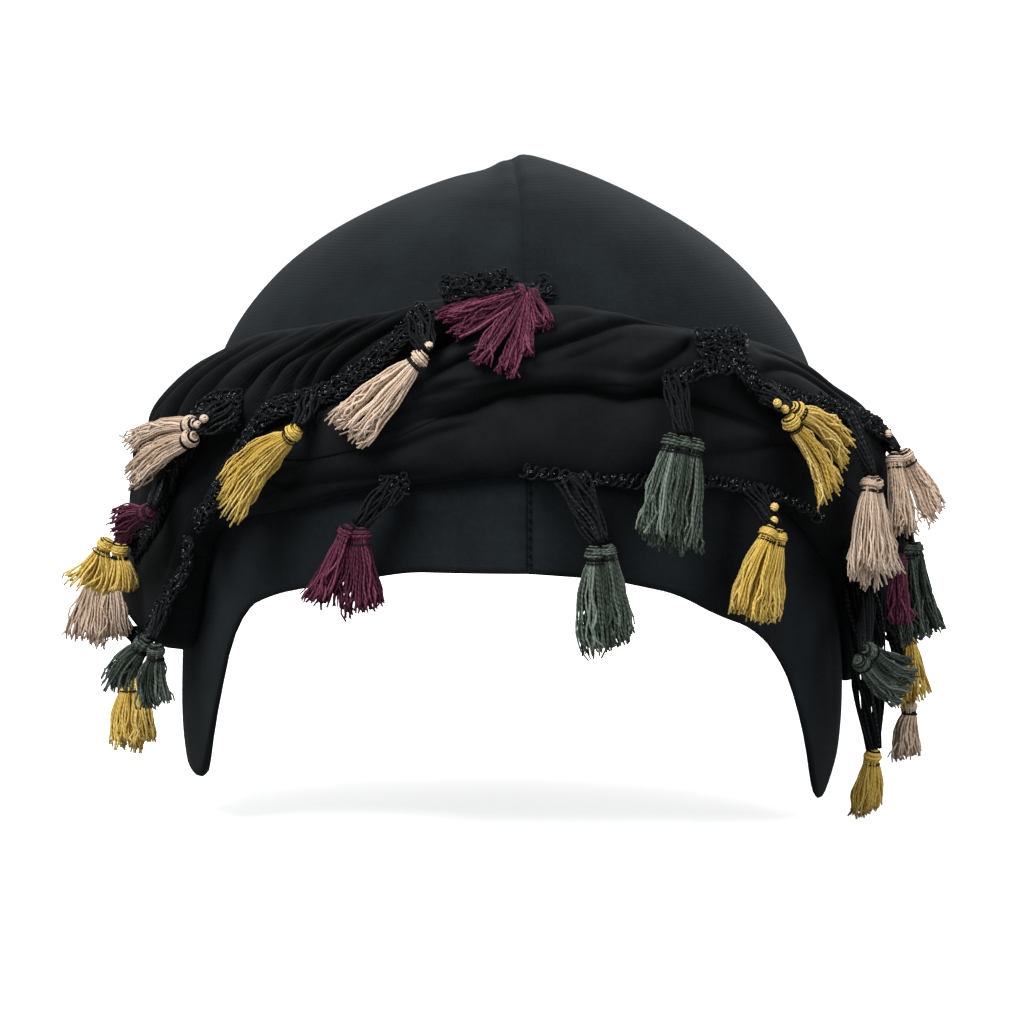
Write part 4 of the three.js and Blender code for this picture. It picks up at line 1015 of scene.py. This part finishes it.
def skirt_yarns(head, tip, out, wide, bow, slant, chance, count, steps=11):
    axis = tip - head
    length = np.linalg.norm(axis)
    ahead = axis / length
    side = unit(np.cross(ahead, out))
    up = np.cross(side, ahead)
    number = np.arange(count)
    reach = np.sqrt((number + 0.5) / count)
    angle = number * SUNFLOWER
    u, v = reach * np.cos(angle), reach * np.sin(angle)
    locks = (np.floor(angle / (2 * np.pi) * LOCKS + 0.4 * v) % LOCKS).astype(int)
    shift = chance.uniform(-0.2, 0.2, (LOCKS, 2))
    lock_bow = chance.uniform(-0.9, 0.9, (LOCKS, 2))
    cut = 1 + chance.uniform(-0.1, 0.03, LOCKS)[locks] + chance.uniform(-0.05, 0.04, count) + slant * u
    t = np.linspace(0, 1, steps) ** 0.9
    down = t[None] * length * cut[:, None]
    half, thick = skirt_section(down, length, wide)
    late = clamp((down - NECK_AT) / (length - NECK_AT))
    bend = 4 * late * clamp(1 - late)
    wild = 0.3 + 1.4 * chance.uniform(0, 1, (count, 1)) ** 5
    sway = wild * late * np.sin(2 * np.pi * (down / 9 + chance.uniform(0, 1, (count, 1))))
    curl = wild * late * np.sin(2 * np.pi * (down / 7 + chance.uniform(0, 1, (count, 1))))
    a = (u[:, None] + shift[locks, 0][:, None] * late) * half + sway + (bow + lock_bow[locks, 0][:, None]) * bend
    b = (v[:, None] + shift[locks, 1][:, None] * late) * thick + 0.8 * curl + 0.6 * lock_bow[locks, 1][:, None] * bend
    paths = head + ahead * down[..., None] + side * a[..., None] + up * b[..., None]
    taper = np.interp(t, [0, 0.85, 1], [1, 1, 0.8])[None]
    radius = YARN_RADIUS * (1 + 0.15 * chance.uniform(-1, 1, (count, 1))) * taper
    shade = 0.33 + 0.1 * chance.uniform(-1, 1, LOCKS)[locks] + 0.13 * chance.uniform(-1, 1, count)
    # the tips are paler; yarns near the middle of the skirt are darker, which is painted shade
    shade = shade[:, None] + 0.1 * late - 0.12 * (1 - reach[:, None])
    return yarn(paths, np.broadcast_to(radius, down.shape), 4, shade.ravel()), (ahead, side, up, length)


def binding(head, frame_of_skirt, wide, at, turns, radius, grow, spread=0.9):
    ahead, side, up, length = frame_of_skirt
    t = np.linspace(0, 1, int(turns * 14))
    uneven = ripple(t * 9, 0, int(length * 10)) * 0.09
    down = at + spread * (t - 0.5) + 1.6 * uneven
    half, thick = skirt_section(down, length, wide)
    angle = 2 * np.pi * turns * t
    line = head + ahead * down[:, None] + side * (np.cos(angle) * (half + grow + uneven))[:, None]
    line = line + up * (np.sin(angle) * (thick + grow + uneven))[:, None]
    return yarn(line[None], radius, 4, 0.36)


def bead(centre, frame_of_skirt, size):
    """A bead of yarn: a few turns wound into a ball."""
    ahead, side, up, _ = frame_of_skirt
    t = np.linspace(0.06, 0.94, 64)[:, None]
    angle = 2 * np.pi * 5 * t
    ball = np.sin(np.pi * t) * size * (side * np.cos(angle) + up * np.sin(angle))
    return yarn((centre - ahead * np.cos(np.pi * t) * size + ball)[None], 0.3, 4, 0.45)


# %% [markdown]
# A whole tassel is one or more skirts side by side with their bindings. A tassel that was crushed flat spreads into
# a fan of locks, which all start at one head.

# %% Whole tassels
def make_tassel(name, node, tassel, seed):
    colour, on, hang, head_at, tip_at, wide, skirts, splay, face = tassel
    chance = np.random.RandomState(seed)
    out = outward(head_at[0] if face is None else face, head_at[1])
    start = edging_spot(on, hang)
    hung, tip = yarn_spot(head_at, HEAD_HALF), yarn_spot(tip_at, wide * 0.5 * FLAT)
    ahead = unit(tip - hung)
    side = unit(np.cross(ahead, out))
    head = hung + unit(hung - start) * 0.5
    bow, slant, beads, _ = TRIM.get(name[6:], PLAIN_TRIM)
    fan = FAN.get(name[6:])
    if fan:
        parts = [(head, yarn_spot((turn, fall, 0), lock * 0.4), lock) for turn, fall, lock in fan]
    else:
        shares = [i / (skirts - 1) - 0.5 if skirts > 1 else 0 for i in range(skirts)]
        apart = HEAD_HALF * 1.5 * max(skirts - 1, 1)
        parts = [(head + side * share * apart, tip + side * share * splay + ahead * wide * 0.12 * (i % 2), wide)
                 for i, share in enumerate(shares)]
    yarns, threads = [], []
    for one, end, part_wide in parts:
        bundle, form = skirt_yarns(one, end, out, part_wide, bow, slant, chance,
                                   FAN_YARNS if fan else SKIRT_YARNS)
        yarns.append(bundle)
        if fan and len(yarns) > 1:
            continue
        yarns.append(binding(one, form, part_wide, 1.1, 4.6, 0.33, -0.05, spread=2.4))
        threads.append(binding(one, form, part_wide, NECK_AT, 3.6, 0.2, 0.24))
        threads.append(binding(one, form, part_wide, 0.3, 2.2, 0.2, 0.2, spread=0.5))
    for k in range(beads):
        yarns.append(bead(head - ahead * (1.9 + 3.1 * k) + side * 1.4 * (0.5 + k * 0.5), form, 0.8))
    points, faces, spot, tone_and_shade = join(yarns + threads)
    first_thread = sum(len(f) for f in faces[: 2 * len(yarns)])
    piece = make_piece(name, points, faces, YARN[colour], spot, (YARN["thread"], first_thread), tone_and_shade)
    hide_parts(node)
    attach(piece, "root")
    return piece


# %% [markdown]
# A hanger is a short flat bundle of black yarn that twists on its way from the edging to the head of its tassel. It
# bends outwards over any cloth between the two. A very wide one faces the way its tassel does.

# %% Hangers
def hanger_yarns(tassel, seed, wider, steps=14):
    _, on, hang, head_at, _, _, _, _, face = tassel
    chance = np.random.RandomState(seed + 500)
    count = round(18 * wider)
    start, head = edging_spot(on, hang), yarn_spot(head_at, HEAD_HALF)
    out = outward(face if wider > 1.6 else head_at[0], head_at[1])
    middle = (start + head) / 2
    middle_turn = (hang + head_at[0]) / 2
    middle_fall = (CROWN_WALL - start[2] + head_at[1]) / 2
    covered = yarn_spot((middle_turn, middle_fall, 0), 1.0)
    middle = middle + out * max(float((covered - middle) @ out), 0)
    t = np.linspace(0, 1, steps)[:, None]
    centre = start * (1 - t) * (1 - 2 * t) + 4 * middle * t * (1 - t) + head * t * (2 * t - 1)
    length = np.linalg.norm(head - start)
    ahead = unit(np.gradient(centre, axis=0))
    side = unit(np.cross(ahead, out))
    up = np.cross(side, ahead)
    half = np.interp(t[:, 0], [0, 0.25, 0.8, 1], [3.2, 3.0, 2.6, 2.1]) * min(1, 0.6 + length / 30)
    half = half * np.interp(t[:, 0], [0, 0.6, 1], [wider, wider, 1])
    angle = np.arange(count) * SUNFLOWER
    reach = np.sqrt((np.arange(count) + 0.5) / count)
    turned = angle[:, None] + t[:, 0][None] * (0.5 + length / 25)
    waver = 0.38 * np.sin(t[:, 0] * 9 + chance.uniform(0, 6.28, (count, 1)))
    a = reach[:, None] * np.cos(turned) * half + waver
    b = reach[:, None] * np.sin(turned) * half * 0.5 + 0.3
    paths = centre[None] + side[None] * a[..., None] + up[None] * b[..., None]
    return yarn(paths, HANGER_RADIUS, 4, 0.18 + 0.1 * chance.uniform(-1, 1, count))


# %% Make the edging with its hangers
NAMES = [f"{row[0]}_{sum(other[0] == row[0] for other in TASSELS[: k + 1])}" for k, row in enumerate(TASSELS)]
for seed, edge in enumerate(EDGING):
    pitch = BACK_PITCH if edge == "back" else FRONT_PITCH
    bundles = [part for k in range(len(EDGING[edge])) for part in crochet(edge, k, seed + 1 + 20 * k, pitch)]
    for number, tassel in enumerate(TASSELS):
        if tassel[1] == edge:
            bundles.append(hanger_yarns(tassel, number, TRIM.get(NAMES[number], PLAIN_TRIM)[3]))
    points, faces, spot, tone_and_shade = join(bundles)
    piece = make_piece("crochet_" + edge, points, faces, YARN["black"], spot, tone_and_shade=tone_and_shade)
    name = "edging_" + edge
    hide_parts(name)
    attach(piece, "root")
    print(piece.name, "faces", len(piece.data.polygons))

# %% Make the tassels
for number, tassel in enumerate(TASSELS):
    piece = make_tassel("yarns_" + NAMES[number], "tassel_" + NAMES[number], tassel, 100 + number)
print("tassels", len(TASSELS), "faces in the last", len(piece.data.polygons))

# %% [markdown]
# ## The flat size of the scarf
# The hood halves and the scarf layers are cloth. The flat size of each scarf layer is printed: the width is the
# unfolded width of the pleated face, measured across it, and the length follows from its area.

for band, (piece, area, across) in SCARF.items():
    print(piece.name, "flat", round(across, 3), "x", round(area / across, 3), "m")

# %% [markdown]
# ## Floor and light
# The picture was taken in a bright white studio, so the light is wide and soft: a large lamp above and to the left
# as the key, a weaker one on the right, one behind so that the back isn't lost, and a dim even sky. The camera sees
# the sky as white. The floor is white paper with a little glow of its own, so that it runs into the white around
# it, and only near the cap is it dim enough to show the shadow. Other rays see a dull floor, which keeps the light
# from below as weak as it is in the picture.

# %% Floor and light
def for_camera(tree, seen, other):
    """One shader for what the camera sees, another for all other rays."""
    ray = add(tree, "ShaderNodeLightPath").outputs["Is Camera Ray"]
    return add(tree, "ShaderNodeMixShader", {0: ray, 1: other.outputs[0], 2: seen.outputs[0]})


FLOOR_REACH = 6.0
low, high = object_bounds()
floor_mesh = bpy.data.meshes.new("floor")
corners = [(x * FLOOR_REACH, y * FLOOR_REACH, low.z) for x, y in ((-1, -1), (1, -1), (1, 1), (-1, 1))]
floor_mesh.from_pydata(corners, [], [(0, 1, 2, 3)])
floor = bpy.data.objects.new("floor", floor_mesh)
bpy.context.scene.collection.objects.link(floor)
paper, tree = new_material("white_paper")
grain = add(tree, "ShaderNodeTexNoise", {"Scale": 60.0, "Detail": 2.0})
white = ramp(tree, grain.outputs[0], (0, "#f1f1f0"), (1, "#fafafa"))
place_on_floor = add(tree, "ShaderNodeNewGeometry").outputs["Position"]
away = add(tree, "ShaderNodeVectorMath", {0: place_on_floor}, operation="LENGTH")
glow = add(tree, "ShaderNodeMapRange", {
    "Value": away.outputs["Value"], "From Min": 0.12, "From Max": 0.5, "To Min": 0.68, "To Max": 1.1})
shader = add(tree, "ShaderNodeBsdfPrincipled", {
    "Base Color": white, "Roughness": 0.9, "Emission Color": linear("#ffffff"),
    "Emission Strength": glow.outputs[0]})
dull = add(tree, "ShaderNodeBsdfDiffuse", {"Color": linear("#8c8c8c")})
finish_material(tree, for_camera(tree, shader, dull))
floor_mesh.materials.append(paper)
floor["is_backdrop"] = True

world = bpy.data.worlds.new("studio")
bpy.context.scene.world = world
world.use_nodes = True
sky = world.node_tree
sky.nodes.clear()
seen = add(sky, "ShaderNodeBackground", {"Color": linear("#ffffff"), "Strength": 1.1})
dim = add(sky, "ShaderNodeBackground", {"Color": linear("#f2f6fa"), "Strength": 0.36})
add(sky, "ShaderNodeOutputWorld", {"Surface": for_camera(sky, seen, dim).outputs[0]})


def lamp(name, at, power, size):
    data = bpy.data.lights.new(name, "AREA")
    data.energy, data.size = power, size
    light = bpy.data.objects.new(name, data)
    bpy.context.scene.collection.objects.link(light)
    light.location = at
    away = np.array(at) - AIM
    yaw, reach = math.atan2(away[0], -away[1]), math.hypot(away[0], away[1])
    light.rotation_euler = (math.atan2(reach, away[2]), 0, yaw)
    return light


lamp("key", (-0.62, -0.85, 1.2), 34, 0.8)
lamp("fill", (1.1, -0.9, 0.5), 9.5, 1.2)
lamp("rear", (0.3, 1.3, 0.9), 12, 1.2)
bpy.context.scene.view_settings.view_transform = "Standard"
print("floor at", round(low.z / MM, 1), "mm")

# %% [markdown]
# ## The size
# The soft pieces must stay in the box of the CAD model, but for a little fabric that stands proud. How far they
# stand outside it along each axis is printed.

# %% How far outside the CAD box
low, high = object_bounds()
over = [round(float(max(a - b, d - c)) / MM, 1) for a, b, c, d in zip(cad_low, low, cad_high, high)]
print("most outside the CAD box, mm:", over)
